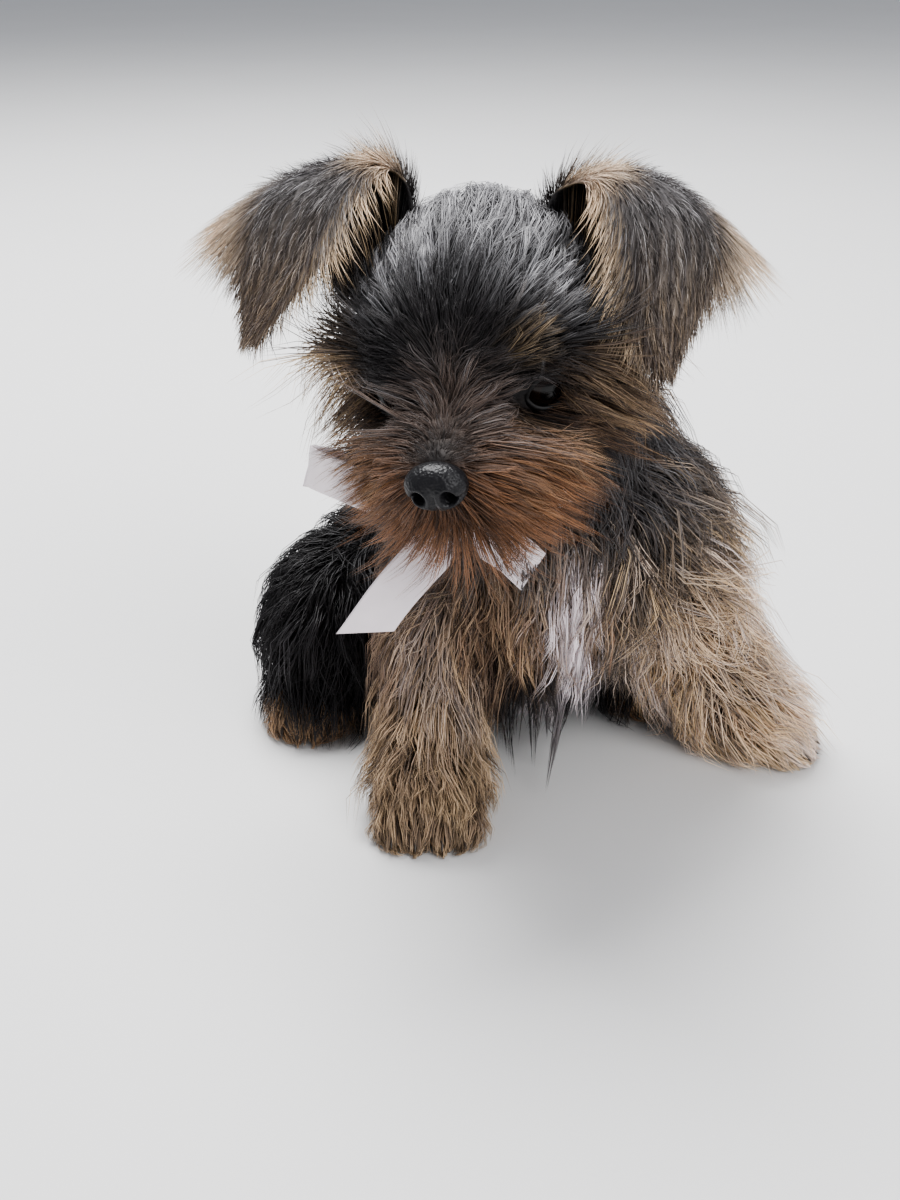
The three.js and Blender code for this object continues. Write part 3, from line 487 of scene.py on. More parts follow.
class Field:
    """Distances to the skin on a regular grid."""

    def __init__(self, low, high):
        self.low = np.floor(low)
        self.shape = np.ceil((high - self.low) / FIELD_STEP).astype(int) + 1
        self.values = np.full(self.shape, FAR, np.float32)

    def window(self, low, high):
        """The slices of the grid between two corners, and the places in them."""
        first = np.maximum(np.floor((low - self.low) / FIELD_STEP).astype(int), 0)
        last = np.minimum(np.ceil((high - self.low) / FIELD_STEP).astype(int) + 1, self.shape)
        slices = tuple(slice(a, b) for a, b in zip(first, last))
        axes = [self.low[k] + FIELD_STEP * np.arange(first[k], last[k]) for k in range(3)]
        grid = np.stack(np.meshgrid(*axes, indexing="ij"), axis=-1)
        return slices, grid.astype(np.float32)

    def add_form(self, limb, reach):
        """Joins a limb to what is there."""
        slices, grid = self.window(*limb.bounds(FIELD_MARGIN))
        distance = limb.distance(grid.reshape(-1, 3))[0].reshape(grid.shape[:3])
        self.values[slices] = blended(self.values[slices], distance, reach)

    def add_ball(self, centre, radius, reach):
        """Joins a ball to what is there."""
        slices, grid = self.window(centre - radius - FIELD_MARGIN, centre + radius + FIELD_MARGIN)
        distance = np.linalg.norm(grid - centre.astype(np.float32), axis=-1) - radius
        self.values[slices] = blended(self.values[slices], distance, reach)

    def cut_window(self, side):
        """Opens the lids of one eye, down to the eyeball."""
        centre = eye_place(side)
        aim, wide, high = lid_axes(side)
        slices, grid = self.window(centre - LID_RADIUS - 3, centre + LID_RADIUS + 3)
        local = grid - centre
        around = np.hypot(local @ wide / LID_OPENING[0], local @ high / LID_OPENING[1])
        distance = np.maximum((around - 1) * LID_OPENING[1], LID_FRONT - local @ aim)
        self.values[slices] = -blended(-self.values[slices], distance.astype(np.float32), LID_EDGE_BLEND)

    def finish(self):
        """Keeps the slopes of the grid for sampling."""
        self.slopes = np.gradient(self.values, FIELD_STEP)

    def corners(self, points):
        """The eight grid places round each point and their shares."""
        place = np.clip((points - self.low) / FIELD_STEP, 0, np.array(self.shape) - 1.001)
        first = place.astype(int)
        share = place - first
        for corner in np.ndindex(2, 2, 2):
            index = tuple((first + corner).T)
            weight = np.prod(np.where(np.array(corner) == 1, share, 1 - share), axis=1)
            yield index, weight

    def distance(self, points):
        """The distance from the skin at each point."""
        return sum(self.values[index] * weight for index, weight in self.corners(points))

    def outward(self, points):
        """The direction out of the skin at each point."""
        total = np.zeros((len(points), 3))
        for index, weight in self.corners(points):
            for k in range(3):
                total[:, k] += self.slopes[k][index] * weight
        return unit(total)


@functools.lru_cache(maxsize=None)
def skin_field():
    """The field of the whole skin without its ears."""
    low = np.min([limb.bounds(FIELD_MARGIN)[0] for limb in forms().values()], axis=0)
    high = np.max([limb.bounds(FIELD_MARGIN)[1] for limb in forms().values()], axis=0)
    field = Field(low, high)
    for name, limb in forms().items():
        field.add_form(limb, HEAD_BLEND if name in ("head", "jaw") else FORM_BLEND)
    for side in (1, -1):
        pad = on_head(side * LIP_PAD["side"], LIP_PAD["forward"], LIP_PAD["up"])
        field.add_ball(pad, LIP_PAD["radius"], PAD_BLEND)
    for name in PAWS:
        for middle in toe_centres(name)[0]:
            field.add_ball(middle, TOE_RADIUS, TOE_BLEND)
    field.values += SKIN_DEPTH
    for side in (1, -1):
        field.add_ball(eye_place(side), LID_RADIUS, LID_BLEND)
        field.cut_window(side)
    field.finish()
    return field


def surface_of(field):
    """The surface where a field is 0, as points and four-sided faces."""
    values = field.values
    inside = values < 0
    shape = np.array(values.shape)
    sums, cells, quads = [], [], []
    for axis in range(3):
        low = [slice(None)] * 3
        high = [slice(None)] * 3
        low[axis] = slice(0, -1)
        high[axis] = slice(1, None)
        crossing = inside[tuple(low)] != inside[tuple(high)]
        index = np.argwhere(crossing)
        index = index[np.all((index > 0) & (index < shape - 2), axis=1)]
        here = tuple(index.T)
        ahead = index.copy()
        ahead[:, axis] += 1
        first, second = values[here], values[tuple(ahead.T)]
        place = index.astype(float)
        place[:, axis] += first / (first - second)
        b, c = (axis + 1) % 3, (axis + 2) % 3
        ring = []
        for back_b, back_c in ((0, 0), (1, 0), (1, 1), (0, 1)):
            cell = index.copy()
            cell[:, b] -= back_b
            cell[:, c] -= back_c
            ring.append(np.ravel_multi_index(tuple(cell.T), shape))
        quad = np.stack(ring, axis=1)
        flipped = first > second
        quad[flipped] = quad[flipped][:, ::-1]
        quads.append(quad)
        cells.extend(ring)
        sums.extend([place] * 4)
    cells = np.concatenate(cells)
    places = np.concatenate(sums)
    names, owner = np.unique(cells, return_inverse=True)
    count = np.bincount(owner)
    points = np.stack([np.bincount(owner, weights=places[:, k]) / count for k in range(3)], axis=1)
    faces = np.searchsorted(names, np.concatenate(quads))
    return field.low + FIELD_STEP * points, faces


def settle(points, field, rounds=3):
    """Moves points onto the skin."""
    for _ in range(rounds):
        points = points - field.distance(points)[:, None] * field.outward(points)
    return points


@functools.lru_cache(maxsize=None)
def skin_surface():
    """The skin's points and faces, cut level with the floor."""
    points, faces = surface_of(skin_field())
    points = settle(points, skin_field())
    points[:, 2] = np.maximum(points[:, 2], 0.5)
    return points, faces


# How the coat lies, by form: the share along the form and a fixed direction
LIES = {
    "neck": (1, (0, 0, -0.3)),
    "torso": (1, (0, 0, -0.6)),
    "foreleg_right": (1, (-0.1, 0, 0)),
    "foreleg_left": (1, (0.1, 0.1, -0.3)),
    "paw_front_right": (1, (0, 0, -0.25)),
    "paw_front_left": (1, (0, 0, -0.25)),
    "thigh_right": (0.2, (0, 0.25, -1)),
    "thigh_left": (0.2, (0, 0.25, -1)),
    "hind_foot_right": (1, (0, 0, -0.2)),
    "hind_foot_left": (1, (0, 0, -0.2)),
    "tail": (1, (0, 0, -0.1)),
}
CHEST_FRONT = -14  # the torso's coat hangs straight down in front of this y
PARTINGS = {"foreleg_right": 0.3, "foreleg_left": 0.8}  # how far the hair spreads from the leg's front


def head_lie(points):
    """The lie of the head's coat, parting from the dip between the eyes and from the nose."""
    side, forward, up = head_places(points)
    crown = unit(np.stack([1.1 * side, STOP_FORWARD + 1 - forward, up - STOP_UP], axis=1))
    low = ease(10, 18, np.abs(side)) * ease(2, -8, up)
    crown[:, 2] -= 0.35 * low
    away = np.hypot(side, up - MUZZLE_AXIS_UP) + 0.5
    back = 0.2 + 0.35 * ease(-5, 4, up - MUZZLE_AXIS_UP)
    muzzle = np.stack([1.25 * side / away, back, 0.75 * (up - MUZZLE_AXIS_UP) / away - 0.4], axis=1)
    ahead = ease(STOP_FORWARD - 2, STOP_FORWARD + 5, forward)[:, None]
    local = crown * (1 - ahead) + unit(muzzle) * ahead
    return unit(local) @ HEAD_TURN.T


def beard_lie(points):
    """The lie of the beard, down and a little forward."""
    side = head_places(points)[0]
    local = np.stack([side / 7.5, np.full_like(side, -0.3), np.full_like(side, -0.9)], axis=1)
    return unit(local) @ HEAD_TURN.T


def form_weights(points):
    """How much each form counts at each point, and the sample of each form nearest to it."""
    distances, nearest = zip(*(limb.distance(points.astype(np.float32)) for limb in forms().values()))
    distances = np.array(distances)
    weights = np.exp(-(distances - distances.min(axis=0)) / 2.5)
    return weights / weights.sum(axis=0), nearest


def lie_of_coat(points):
    """The direction in which the coat lies at each point."""
    weights, nearest = form_weights(points)
    total = np.zeros((len(points), 3))
    for (name, limb), weight, sample in zip(forms().items(), weights, nearest):
        if name == "head":
            lie = head_lie(points)
        elif name == "jaw":
            lie = beard_lie(points)
        else:
            share, fixed = LIES[name]
            lie = share * limb.along[sample] + np.array(fixed)
            if name in PARTINGS:
                beside = dot(points - limb.centres[sample], limb.wide[sample]) / limb.sizes[sample][:, :1]
                lie = lie + PARTINGS[name] * np.clip(beside, -1, 1) * limb.wide[sample]
            if name == "torso":
                front = ease(CHEST_FRONT + 14, CHEST_FRONT, points[:, 1])[:, None]
                lie = lie * (1 - front) + (0.15 * lie + np.array([0, 0, -1.0])) * front
        total += weight[:, None] * unit(lie)
    return unit(total)


# The coat's values: strands per square millimetre, length, depth, lift in degrees, how much it
# clings to the skin, strand width, how freely it hangs, and degrees by which it swings to and fro
DENSITY, LENGTH, DEPTH, LIFT, CLING, WIDTH, HANG, WAVE = range(8)

# The first seven of them by form
COAT = {
    "jaw": (5.0, 18.8, 6.5, 26, 0.0, 0.22, 0.95),
    "neck": (1.38, 24, 9.0, 35, 0.05, 0.36, 0.45),
    "foreleg_right": (1.75, 18, 8.0, 32, 0.1, 0.36, 0.35),
    "foreleg_left": (1.7, 25, 8.0, 30, 0.05, 0.36, 0.55),
    "paw_front_right": (2.6, 9, 3.6, 28, 0.4, 0.3, 0.2),
    "paw_front_left": (2.6, 9, 3.2, 26, 0.4, 0.3, 0.2),
    "thigh_right": (0.9, 21, 7.0, 26, 0.2, 0.44, 0.35),
    "thigh_left": (0.65, 21, 7.0, 26, 0.2, 0.5, 0.35),
    "hind_foot_right": (1.7, 9, 3.0, 24, 0.4, 0.34, 0.2),
    "hind_foot_left": (1.3, 9, 3.0, 24, 0.4, 0.38, 0.2),
    "tail": (0.9, 15, 5.0, 20, 0.4, 0.46, 0.2),
}

# Patches of the head's coat: side, forward, up and reach, then the same values as above
HEAD_COAT = [
    (0, 0, 21, 14, 1.8, 19, 3.2, 9, 0.75, 0.3, 0),
    (0, 14, 16, 9, 2.2, 17, 3.0, 10, 0.7, 0.27, 0),
    (0, 24, 3, 6, 3.4, 9, 1.8, 12, 0.6, 0.23, 0),
    (11, 20, 4, 5, 3.6, 10, 3.2, 32, 0.3, 0.22, 0.2),
    (16, 23, -7, 5, 4.6, 5, 1.0, 14, 0.7, 0.18, 0.1),
    (0, 33, -4, 5, 4.8, 7.5, 2.0, 18, 0.4, 0.19, 0.3),
    (0, 44, -6, 4, 5.6, 4.5, 0.8, 14, 0.6, 0.18, 0.3),
    (9, 34, -12, 6, 4.8, 19.5, 11.0, 40, 0.0, 0.22, 0.9),
    (9, 33, -17, 5, 4.4, 22, 12.0, 44, 0.0, 0.22, 0.9),
    (7, 45, -14, 4.5, 6.4, 11, 5.0, 30, 0.1, 0.19, 0.85),
    (0, 47, -18, 3.5, 6.0, 7, 2.0, 24, 0.2, 0.19, 0.9),
    (20, 15, -10, 8, 3.5, 25, 13.0, 44, 0.0, 0.27, 0.55),
    (22, 2, 5, 8, 2.6, 13, 4.0, 20, 0.4, 0.3, 0.15),
    (20, -3, -12, 8, 1.9, 21, 8.0, 30, 0.1, 0.38, 0.5),
    (0, -14, 0, 12, 1.3, 18, 5.0, 18, 0.5, 0.42, 0),
]

# Patches of the trunk's coat: x, y, z and reach, then the same values
TORSO_COAT = [
    (20, 35, 75, 22, 0.4, 22, 6.0, 18, 0.45, 0.52, 0.1),
    (22, -30, 62, 18, 1.5, 23, 8.0, 28, 0.1, 0.4, 0.6),
    (28, -15, 28, 16, 1.6, 21.5, 8.0, 26, 0.05, 0.4, 1.0),
    (46, 12, 45, 18, 0.9, 26, 8.0, 28, 0.1, 0.46, 0.6),
    (-8, 15, 50, 18, 0.85, 24, 7.0, 24, 0.2, 0.46, 0.4),
    (8, 78, 30, 24, 0.38, 25, 6.0, 20, 0.2, 0.54, 0.7),
]


def patched(places, patches):
    """Values at places between patches, each of which counts most at its own place."""
    table = np.array(patches, float)
    far = places[:, None, :] - table[None, :, :3]
    share = np.exp(-np.sum(far**2, axis=2) / table[:, 3] ** 2) + 1e-9
    return (share @ table[:, 4:]) / share.sum(axis=1, keepdims=True)


WAVY = {"foreleg_right": 11, "foreleg_left": 13, "paw_front_right": 16, "paw_front_left": 12, "torso": 8}
LEAST_WAVE = 5  # degrees by which a strand swings to and fro, on the rest of the body


def coat_values(points, weights):
    """The coat's values at each point, in the order of the tables above, and its waves."""
    side, forward, up = head_places(points)
    on_face = patched(np.stack([np.abs(side), forward, up], axis=1), HEAD_COAT)
    on_trunk = patched(points, TORSO_COAT)
    values = np.zeros_like(on_face)
    wave = sum(WAVY.get(name, LEAST_WAVE) * weight for name, weight in zip(forms(), weights))
    for name, weight in zip(forms(), weights):
        own = {"head": on_face, "torso": on_trunk}.get(name)
        if own is None:
            own = np.array(COAT[name])[None, :]
        values += weight[:, None] * own
    x, y, z = points.T
    shoulder = ease(30, 42, x) * ease(56, 66, z) * ease(106, 92, z) * ease(20, 4, y)
    values[:, LIFT] += 16 * shoulder
    wisps = right_temple(side, forward, up) * weights[list(forms()).index("head")]
    values[:, LENGTH] += 10 * wisps
    values[:, DEPTH] += 5 * wisps
    values[:, LIFT] += 20 * wisps
    values[:, CLING] *= 1 - wisps
    behind_ear = bump_at(np.hypot(side + 21, up - 7) + 0.4 * np.abs(forward - 2), 7)
    behind_ear *= weights[list(forms()).index("head")]
    values[:, LENGTH] += 9 * behind_ear
    values[:, DEPTH] += 6 * behind_ear
    values[:, LIFT] += 30 * behind_ear
    values[:, CLING] *= 1 - behind_ear
    return np.column_stack([values, wave])


# Markings: how much of each colour shows at each place, with painted shade and painted highlight among them

SILVER, TAUPE, RUST, WHEAT, WHITE, DEEP = range(6)


def noise(points, size, seed):
    """A smooth random pattern from 0 to 1, made of a few waves."""
    rng = np.random.default_rng(seed)
    total = np.zeros(len(points))
    for _ in range(6):
        way = unit(rng.normal(size=3)) / size * rng.uniform(0.6, 1.5)
        total += np.sin(points @ way * 2 * math.pi + rng.uniform(0, 2 * math.pi))
    return 0.5 + total / 6


def blaze_at(points):
    """How much of the white blaze on the chest shows at each point."""
    x, y, z = points.T
    middle = 29 - 0.009 * (z - 54) ** 2 + 1.6 * np.sin(z / 5.5)
    return 1.6 * bump_at(x - middle, 3.5) * ease(6, -8, y) * ease(79, 72, z)


def right_temple(side, forward, up):
    """Where long wisps stand out beside the right eye."""
    return bump_at(np.hypot(side + 21, up + 3) + 0.4 * np.abs(forward - 8), 7.5)


def head_markings(points):
    """Silver, taupe, rust, wheat, white and deep masks of the head."""
    side, forward, up = head_places(points)
    wisps = right_temple(side, forward, up)
    wide = np.abs(side)
    patchy = noise(points, 9, 3) - 0.5
    muzzle = ease(25, 31, forward + 5 * patchy) * ease(-5.5, -10, up - 0.2 * (wide - 8))
    cheek = ease(12, 18, wide) * ease(1, -6, up) * ease(-4, 6, forward) * (1 - muzzle)
    bridge = ease(28, 33, forward) * ease(-12, -8, up) * ease(11, 6, wide)
    bristle = noise(points, 2.2, 4)
    # Grey hair on the top of the head, which also stands as a painted highlight where the top light falls
    silver = ease(-3, 5, up) * ease(27, 15, forward) * ease(23, 13, wide)
    # Dark hair round the root of the ear, deepened by painted shade where the ear hangs over the head
    ear_root_hair_and_shade = bump_at(np.hypot(wide - 21, up - 7), 8) * ease(16, 8, forward)
    brow = bump_at(np.hypot(side - 12, up - 3), 3) * ease(15, 20, forward)
    eye_dark = bump_at(np.hypot(wide - 14.5, (up + 6) * 1.2) + 0.4 * np.abs(forward - 22), 9.5)
    stop_dark = bump_at(np.hypot(wide * 0.55, forward - 24) + 0.5 * np.abs(up - 1), 7.5)
    nose_dark = bump_at(np.hypot(side, up + 7) + 0.6 * np.abs(forward - 47), 6)
    # Painted shadow under the nose and along the mouth line, laid into the deep mask
    painted_mouth_shadow = bump_at(np.hypot(side * 0.6, up + 17.5) + 0.8 * np.abs(forward - 46), 4.5)
    deep = eye_dark + 0.75 * stop_dark + 0.8 * nose_dark + 0.85 * painted_mouth_shadow + 0.1 * bridge + 0.85 * ear_root_hair_and_shade
    deep = np.clip(deep, 0, 1) * (1 - 0.8 * wisps)
    outer_cheek = cheek * ease(14, 21, wide)
    taupe = np.clip(0.65 * bridge + (0.5 + 0.5 * bristle) * cheek + 0.4 * muzzle + 0.6 * wisps, 0, 1)
    rust = muzzle * (0.4 + 0.4 * bristle) * ease(-6, -14, up) + 0.3 * muzzle + 0.32 * cheek
    wheat = (0.06 + 0.5 * bristle) * outer_cheek + (0.1 + 0.45 * bristle) * muzzle * ease(6, 12, wide)
    wheat += (0.6 * brow + 0.8 * wisps) * bristle
    none = np.zeros(len(points))
    return np.stack([np.clip(silver + 0.35 * bridge, 0, 1), taupe, rust, wheat, none, deep], axis=1)


def body_markings(points):
    """The same masks for the trunk, neck and tail."""
    x, y, z = points.T
    patchy = noise(points, 14, 5) - 0.5
    front = ease(2, -16, y)
    chest = front * ease(84, 68, z + 10 * patchy) * ease(38, 28, x + 8 * patchy) * ease(42, 54, z)
    blaze = blaze_at(points)
    belly = ease(46, 26, z) * ease(26, -4, y)
    # Grey hair that shows more towards the top and back, partly a painted highlight where the top light
    # falls
    silver = 0.22 * ease(60, 90, z) + 0.25 * ease(0, 30, y) * ease(20, 60, z)
    shoulder = ease(28, 38, x) * ease(58, 66, z) * ease(104, 92, z) * ease(16, 4, y)
    taupe = 0.85 * chest + 0.25 * shoulder * noise(points, 6, 2)
    rust = 0.4 * chest * noise(points, 5, 8)
    tufted = ease(0.45, 0.7, noise(points, 7, 13)) * ease(90, 74, z)
    wheat = 0.3 * chest * noise(points, 4, 9) + shoulder * tufted
    white = blaze + 0.45 * shoulder * tufted
    return np.stack([silver, taupe, rust, wheat, white, 0.7 * belly * (1 - blaze)], axis=1)


def foreleg_markings(points, left):
    """The same masks for a foreleg and its paw."""
    x, y, z = points.T
    patchy = noise(points, 8, 6) - 0.5
    own = ease(80, 66, z + 8 * patchy) if left else ease(70, 58, z + 8 * patchy)
    if left:
        own *= 1 - ease(2, 9, y + 4 * patchy) * ease(18, 30, z)
        own *= 1 - 0.8 * ease(52, 66, z) * ease(0.62, 0.38, noise(points, 7, 21))
        middle = 44 + (70 - z) * 0.5
        outer = np.clip(np.abs(x - middle) / 9 + 0.5 * patchy, 0, 1) ** 1.5
        wheat = own * (0.55 + 0.45 * outer)
        rust = own * 0.2 * (1 - outer)
        white = own * (0.1 + 0.38 * outer)
    else:
        # A painted highlight down the front of the right foreleg, in wheat and white
        painted_front_highlight = bump_at(x + 2, 5) * ease(70, 58, z) * ease(20, 34, z)
        wheat = own * (0.05 + 0.24 * ease(46, 22, z) + 0.3 * patchy + 0.3 * painted_front_highlight)
        rust = own * 0.12 * ease(25, 50, z)
        white = own * 0.22 * painted_front_highlight
    toes = bump_at(z - 1, 2.5)
    none = np.zeros(len(points))
    return np.stack([none, own, rust, wheat, white, 0.35 * toes], axis=1)


def hind_markings(points, foot):
    """The same masks for a thigh or a hind foot."""
    _, y, z = points.T
    tan = ease(17, 9, z) * ease(30, 18, y) if foot else 0.5 * ease(16, 8, z) * ease(26, 14, y)
    none = np.zeros(len(points))
    return np.stack([none + 0.05, 0.9 * tan, 0.45 * tan, 0.24 * tan, none, 0.5 * (1 - tan)], axis=1)


def markings(points, weights):
    """Silver, taupe, rust, wheat, white and deep masks at each point of the skin."""
    total = np.zeros((len(points), DEEP + 1))
    for name, weight in zip(forms(), weights):
        if name in ("head", "jaw"):
            own = head_markings(points)
        elif name.startswith("foreleg") or name.startswith("paw"):
            own = foreleg_markings(points, name.endswith("left"))
        elif name.startswith("thigh") or name.startswith("hind"):
            own = hind_markings(points, name.startswith("hind"))
        else:
            own = body_markings(points)
        total += weight[:, None] * own
    return np.clip(total, 0, 1)


def ear_markings(across, along, inner):
    """The same masks for places on an ear. inner is 1 on its inside."""
    none = np.zeros(len(across))
    front_rim = ease(-0.78, -0.95, across) * ease(0.2, 0.32, along) * ease(0.98, 0.7, along)
    crest = bump_at(along - 0.34, 0.09) * ease(0.0, -0.6, across)
    tuft = bump_at(along - 0.6, 0.13) * ease(0.6, 0.92, across)
    streaks = 0.5 + 0.5 * np.sin(across * 23 + 3 * along)
    wheat = 0.8 * front_rim + 0.95 * crest + 0.95 * tuft + 0.25 * streaks * ease(0.5, 0.9, along)
    white = (0.15 * front_rim + 0.3 * crest + 0.35 * tuft) * (1 - inner)
    # Painted shade: the inside of each ear is near black, and its outside darker near the root
    deep = inner * 0.95 * (1 - 0.6 * front_rim) + 0.3 * (1 - inner) * ease(0.2, 0.08, along)
    silver = (1 - inner) * (0.42 + 0.25 * bump_at(along - 0.45, 0.25)) * (0.3 + 0.7 * streaks)
    taupe = (0.08 + 0.25 * ease(0.6, 1, along)) * (1 - inner)
    return np.stack([silver, taupe, none, np.clip(wheat, 0, 1) * (1 - 0.5 * inner), white, deep], axis=1)


# Meshes


def new_piece(name, points, faces, material, smooth=True):
    """A mesh object of the puppy, riding on its body."""
    mesh = bpy.data.meshes.new(name)
    mesh.vertices.add(len(points))
    mesh.vertices.foreach_set("co", to_model(points).astype(np.float32).ravel())
    faces = np.asarray(faces, np.int32)
    mesh.loops.add(faces.size)
    mesh.loops.foreach_set("vertex_index", faces.ravel())
    mesh.polygons.add(len(faces))
    starts = np.arange(0, faces.size, faces.shape[1], dtype=np.int32)
    mesh.polygons.foreach_set("loop_start", starts)
    mesh.update(calc_edges=True)
    mesh.polygons.foreach_set("use_smooth", np.full(len(faces), smooth))
    mesh.materials.append(material)
    piece = bpy.data.objects.new(name, mesh)
    bpy.context.scene.collection.objects.link(piece)
    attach(piece, BODY)
    return piece


def keep_values(piece, name, values):
    """Stores three numbers at each point of a piece."""
    layer = piece.data.attributes.new(name, "FLOAT_VECTOR", "POINT")
    layer.data.foreach_set("vector", np.ascontiguousarray(values, np.float32).ravel())


def keep_markings(piece, masks, strand):
    """Stores the markings and what varies from strand to strand."""
    keep_values(piece, "marks_dark", masks[:, SILVER : RUST + 1])
    keep_values(piece, "marks_pale", masks[:, WHEAT : DEEP + 1])
    keep_values(piece, "strand", strand)


def grid_faces(rows, columns, closed=False):
    """Four-sided faces over a grid of points, row by row."""
    wide = columns if closed else columns - 1
    row, column = np.meshgrid(np.arange(rows - 1), np.arange(wide), indexing="ij")
    after = (column + 1) % columns
    here, below = row * columns, (row + 1) * columns
    corners = [here + column, here + after, below + after, below + column]
    return np.stack([corner.ravel() for corner in corners], axis=1)


def tube_faces(rows, sides):
    """Faces over closed rings of points, capped with a fan at both ends."""
    last = (rows - 1) * sides
    triangles = []
    for a, b, c, d in grid_faces(rows, sides, closed=True):
        triangles.append([a, b, c])
        triangles.append([a, c, d])
    for k in range(1, sides - 1):
        triangles.append([0, k + 1, k])
    for k in range(1, sides - 1):
        triangles.append([last, last + k, last + k + 1])
    return np.array(triangles)


def ball_grid(rows, columns):
    """Directions over a whole ball and the triangles between them, with a point at each pole."""
    tilt = np.linspace(0, math.pi, rows + 1)[1:-1]
    angle = np.linspace(0, 2 * math.pi, columns, endpoint=False)
    tilt, angle = np.meshgrid(tilt, angle, indexing="ij")
    ring = np.stack([np.sin(tilt) * np.cos(angle), np.sin(tilt) * np.sin(angle), np.cos(tilt)], axis=-1)
    points = np.vstack([ring.reshape(-1, 3), [[0, 0, 1]], [[0, 0, -1]]])
    quads = grid_faces(rows - 1, columns, closed=True)
    triangles = [[a, d, c] for a, b, c, d in quads] + [[a, c, b] for a, b, c, d in quads]
    top, bottom = len(points) - 2, len(points) - 1
    last = (rows - 2) * columns
    for k in range(columns):
        after = (k + 1) % columns
        triangles.append([top, k, after])
        triangles.append([bottom, last + after, last + k])
    return points, np.array(triangles)


# Strands of hair

STRAND_STEPS = np.array([0.14, 0.26, 0.3, 0.3])  # shares of a strand's length between its places
STRAND_WIDTHS = np.array([0.7, 1.0, 0.85, 0.5])  # shares of its width from the root to near the tip
STRAND_HEIGHTS = np.array([0.45, 0.9, 1.0, 1.0])  # shares of the coat's depth on the way
SECTION = np.array([[-0.5, -0.16], [0.5, -0.16], [0.0, 0.26]])  # its flat three-sided section
ROOT_SINK = 0.5
STRAND_PLACES = {8: [0, 2, 4], 19: [0, 1, 3, 4], 99: [0, 1, 2, 3, 4]}  # those kept, by length
PATCH = 0.003  # across one strand's patch of the bake map
FLOOR_CLEAR = 0.45
TUFT_SHARE = 0.14  # share of the strands that lead a tuft
TUFT_SWING = 12  # degrees by which a tuft turns off the lie of the coat
STRAND_SWING = 5.5
TUFT_BEND = 10  # degrees by which it curves along its length
STRAND_BEND = 4
GATHER = (0.3, 0.85)  # how far strands are drawn to the tip of their tuft, least and most
GATHER_BLAZE = 0.92
RIBBON_CLEAR = 1.1  # from the middle of the ribbon to the strands over and under it
RIBBON_REACH = 8  # how near the ribbon's middle line a strand has to come
VEIL_FROM = 6  # strands rooted to the left of this x may lie over the bow


def strand_faces(rings):
    """The triangles of one strand: a base, its sides and its tip."""
    faces = [[0, 1, 2]]
    for ring in range(rings - 1):
        for k in range(3):
            a, b = 3 * ring + k, 3 * ring + (k + 1) % 3
            faces.append([a, a + 3, b + 3])
            faces.append([a, b + 3, b])
    top = 3 * (rings - 1)
    for k in range(3):
        faces.append([top + k, 3 * rings, top + (k + 1) % 3])
    return np.array(faces)


def strand_mesh(path, width, out):
    """The points of flat tapered strands along their paths, and their triangles."""
    count, places = path.shape[:2]
    rings = places - 1
    along = unit(np.gradient(path, axis=1))
    across = unit(np.cross(along, out[:, None, :]))
    up = np.cross(across, along)
    shares = np.interp(np.linspace(0, 1, rings), np.linspace(0, 1, 4), STRAND_WIDTHS)
    points = np.empty((count, 3 * rings + 1, 3))
    for ring in range(rings):
        size = (width * shares[ring])[:, None]
        for k, (a, b) in enumerate(SECTION):
            points[:, 3 * ring + k] = path[:, ring] + size * (a * across[:, ring] + b * up[:, ring])
    points[:, -1] = path[:, -1]
    faces = strand_faces(rings)[None] + (np.arange(count) * (3 * rings + 1))[:, None, None]
    return points.reshape(-1, 3), faces.reshape(-1, 3)


def strand_layout(rings):
    """For each point of a strand: how far along it is, and how far across its patch."""
    along = np.append(np.repeat(np.linspace(0, 1, rings, endpoint=False), 3), 1.0)
    across = np.append(np.tile([-0.5, 0.5, 0.0], rings), 0.0)
    return along, across


class Strands:
    """Strands of one piece of coat, gathered before its mesh is made."""

    def __init__(self):
        self.parts = []

    def add(self, path, width, out, masks, shade, place):
        """Adds strands. place is where each one's patch lies on the bake map."""
        if len(path) == 0:
            return
        points, faces = strand_mesh(path, width, out)
        along, across = strand_layout(path.shape[1] - 1)
        count = len(path)
        spread_masks = np.repeat(masks, len(along), axis=0)
        spots = place[:, None, :] + PATCH * np.stack([across, along - 0.5], axis=1)[None]
        strand = np.stack(
            [np.repeat(shade, len(along)), np.tile(along, count), np.repeat(place[:, 0], len(along))],
            axis=1,
        )
        self.parts.append((points, faces, spread_masks, strand, spots.reshape(-1, 2)))

    def piece(self, name):
        """Makes the coat piece."""
        start = 0
        faces = []
        for part in self.parts:
            faces.append(part[1] + start)
            start += len(part[0])
        faces = np.vstack(faces)
        points, _, masks, strand, spots = (np.concatenate(column) for column in zip(*self.parts))
        piece = new_piece(name, points, faces, coat_material())
        keep_markings(piece, masks, strand)
        layer = piece.data.uv_layers.new(name="OFBake")
        corners = np.clip(spots, 0.001, 0.999)[faces.ravel()]
        layer.uv.foreach_set("vector", corners.astype(np.float32).ravel())


def turned(vectors, axes, angles):
    """Vectors turned about axes at right angles to them."""
    return vectors * np.cos(angles)[:, None] + np.cross(axes, vectors) * np.sin(angles)[:, None]


def guides_of(roots, share, rng):
    """For each strand, the strand that leads its tuft."""
    leaders = rng.permutation(len(roots))[: max(1, int(len(roots) * share))]
    tree = kdtree.KDTree(len(leaders))
    for leader in leaders:
        tree.insert(roots[leader], int(leader))
    tree.balance()
    return np.array([tree.find(root)[1] for root in roots])


